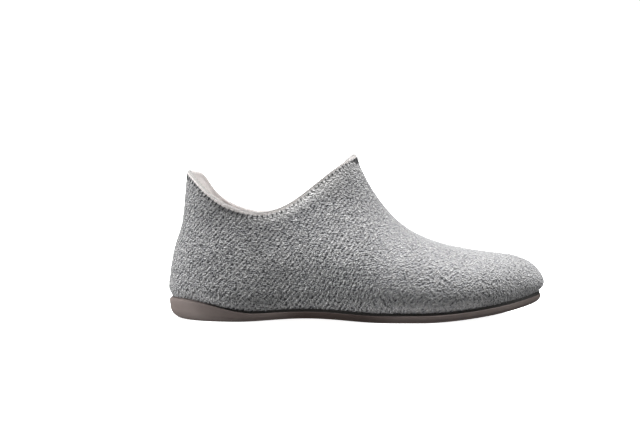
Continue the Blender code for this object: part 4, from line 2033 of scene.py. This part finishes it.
@dataclass
class FeltInsole:
    """The insole: a felt pad with a soft top edge and a slight bed for the foot."""

    last: Last
    thickness: float = 4.5
    edge_round: float = 1.4
    bed_depth: float = 0.7
    every: int = 3
    rim_share: float = 0.92
    bed_rows: int = 15
    lumpiness: float = 0.06

    def build(self, finish: bpy.types.Material) -> None:
        """Makes the pad.

        Args:
            finish: the felt's material.
        """
        ring = self.last.columns()
        columns = Columns(self.last, ring.share[:: self.every], ring.inner[:: self.every])
        reach = self.last.wall + 2 * self.last.gap
        rim = (columns.tuck + reach * self.rim_share)[:, None]
        low = self.last.seat(columns.x)[:, None] + self.last.gap
        high = low + self.thickness
        heights = np.concatenate((low, high - self.edge_round), axis=1)
        side = columns.at_inset(np.repeat(rim, 2, axis=1), heights)
        turn = np.linspace(0, math.pi / 2, 6)[None, 1:]
        inset = rim + self.edge_round * (1 - np.cos(turn))
        top = columns.at_inset(inset, high - self.edge_round * (1 - np.sin(turn)))
        shares = np.linspace(1, 0, self.bed_rows)[1:]
        bed = columns.to_axis(top[:, -1], shares)
        hollow = self.bed_depth * soft_step(1.0, 0.55, shares)[None]
        bed[..., 2] = self.last.seat(bed[..., 0]) + self.last.gap + self.thickness - hollow
        bed[..., 2] += self.lumpiness * Lumps(51, 4.0)(bed[..., :2])
        bed[:, -1, 2] = (bed[:, -1, 2] + bed[::-1, -1, 2]) / 2
        below = columns.to_axis(side[:, 0], np.linspace(0, 1, 5)[:-1])
        below[..., 2] = self.last.seat(below[..., 0]) + self.last.gap
        mesh = grid_mesh("felt_insole", np.concatenate((below, side, top, bed), axis=1))
        piece = add_piece(mesh, "felt_insole", finish)
        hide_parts("insole")


class Sun(NamedTuple):
    """A soft light from far off: its direction and width in degrees, and its power.

    It comes from the camera's side at 0 around, from the toe at 90 and from the heel at 270.
    """

    name: str
    around: float
    above: float
    width: float
    power: float


@dataclass
class Studio:
    """Pale floor, soft light and the camera at the photograph's angle."""

    camera_x: float = -0.0248
    distance: float = 1.300
    pitch: float = math.radians(2.1)
    aim_height: float = 0.0715
    lens: float = 107.0
    floor_size: float = 12.0
    floor_shades: tuple[Shade, Shade] = ((0.92, 0.92, 0.92), (0.96, 0.96, 0.96))
    floor_bounce: Shade = (0.10, 0.10, 0.10)
    backdrop_seen: float = 1.03
    backdrop_light: float = 0.02
    sensor_width: float = 36.0
    suns: tuple[Sun, ...] = (
        Sun("toe_top", 90.0, 75.0, 45.0, 3.05),
        Sun("toe_side", 90.0, 25.0, 45.0, 1.76),
        Sun("heel_top", 270.0, 75.0, 45.0, 3.39),
        Sun("heel_side", 270.0, 25.0, 45.0, 2.21),
        Sun("heel_low", 270.0, -35.0, 45.0, 1.48),
        Sun("heel_front", 285.0, 10.0, 45.0, 0.88),
    )

    def build(self) -> None:
        """Sets the floor, the light and the camera."""
        bpy.context.scene.view_settings.view_transform = "Standard"
        self.floor()
        self.backdrop()
        self.lights()
        self.camera()

    def floor(self) -> None:
        """A pale lit table. It throws little light back up, as in the photograph."""
        mesh = bpy.data.meshes.new("floor")
        work = bmesh.new()
        bmesh.ops.create_grid(work, x_segments=8, y_segments=8, size=self.floor_size)
        work.to_mesh(mesh)
        work.free()
        floor = bpy.data.objects.new("floor", mesh)
        bpy.context.scene.collection.objects.link(floor)
        floor.visible_shadow = False
        material, bench, shader = new_material("pale_floor")
        seen = bench.node("ShaderNodeLightPath").outputs["Is Camera Ray"]
        pale = bench.mix(bench.noise(bench.space(), 3.0), *self.floor_shades)
        bench.feed_all(
            shader,
            {
                "Base Color": bench.mix(seen, self.floor_bounce, pale),
                "Emission Color": bench.mix(seen, (0.0, 0.0, 0.0), pale),
                "Emission Strength": 1.0,
                "Roughness": 0.9,
                "Specular IOR Level": 0.05,
            },
        )
        mesh.materials.append(material)

    def backdrop(self) -> None:
        """White beyond the floor, with almost no light of its own."""
        world = bpy.data.worlds.new("studio")
        world.use_nodes = True
        bpy.context.scene.world = world
        bench = Bench(world.node_tree)
        back = world.node_tree.nodes["Background"]
        seen = bench.node("ShaderNodeLightPath").outputs["Is Camera Ray"]
        back.inputs["Color"].default_value = (1.0, 1.0, 1.0, 1.0)
        strength = bench.add(seen, self.backdrop_seen, self.backdrop_light)
        bench.feed(back.inputs["Strength"], strength)

    def lights(self) -> None:
        """Hangs the soft lights."""
        for sun in self.suns:
            light = bpy.data.lights.new(sun.name, "SUN")
            light.energy = sun.power
            light.angle = math.radians(sun.width)
            holder = bpy.data.objects.new(sun.name, light)
            around, above = math.radians(sun.around), math.radians(sun.above)
            flat = math.cos(above)
            source = Vector((math.sin(around) * flat, -math.cos(around) * flat, math.sin(above)))
            holder.rotation_euler = source.to_track_quat("Z", "Y").to_euler()
            bpy.context.scene.collection.objects.link(holder)

    def camera(self) -> None:
        """Stands the camera a little above the slipper, square to its outer side."""
        view = bpy.data.cameras.new("camera")
        view.lens = self.lens
        view.sensor_width = self.sensor_width
        view.sensor_fit = "HORIZONTAL"
        camera = bpy.data.objects.new("camera", view)
        rise = self.aim_height + self.distance * math.tan(self.pitch)
        camera.location = (self.camera_x, -self.distance, rise)
        camera.rotation_euler = (math.pi / 2 - self.pitch, 0.0, 0.0)
        bpy.context.scene.collection.objects.link(camera)
        bpy.context.scene.camera = camera


def main() -> None:
    """Builds the slipper around the CAD frame and sets up the studio."""
    logging.basicConfig(level=logging.INFO, format="%(name)s: %(message)s")
    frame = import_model()
    log.info("frame nodes: %s", ", ".join(sorted(frame["nodes"])))

    last, twill, stitching = Last(), Twill(), CollarStitching()
    effects = Effects(twill)
    lining = BrushedLining().material(effects)
    felt = BrushedLining("felt_insole", (0.42, 0.39, 0.375), (0.70, 0.665, 0.645), scale=700.0)
    insole = felt.material(effects)
    threads = {
        finish.thread: finish.material(effects)
        for finish in (
            SewingThread(Thread.DARK, (0.02, 0.02, 0.022), (0.075, 0.075, 0.079)),
            SewingThread(Thread.PALE, (0.38, 0.37, 0.37), (0.66, 0.64, 0.63)),
        )
    }

    upper = WoolUpper(last, twill, stitching)
    upper.build(WoolTwill().material(effects), NapHair().material(effects))
    SoftLining(upper).build(lining)
    stitching.build(upper, threads)
    RubberSole(last).build(SoleRubber().material(effects))
    FeltInsole(last).build(insole)
    Studio().build()


if __name__ == "__main__":
    main()
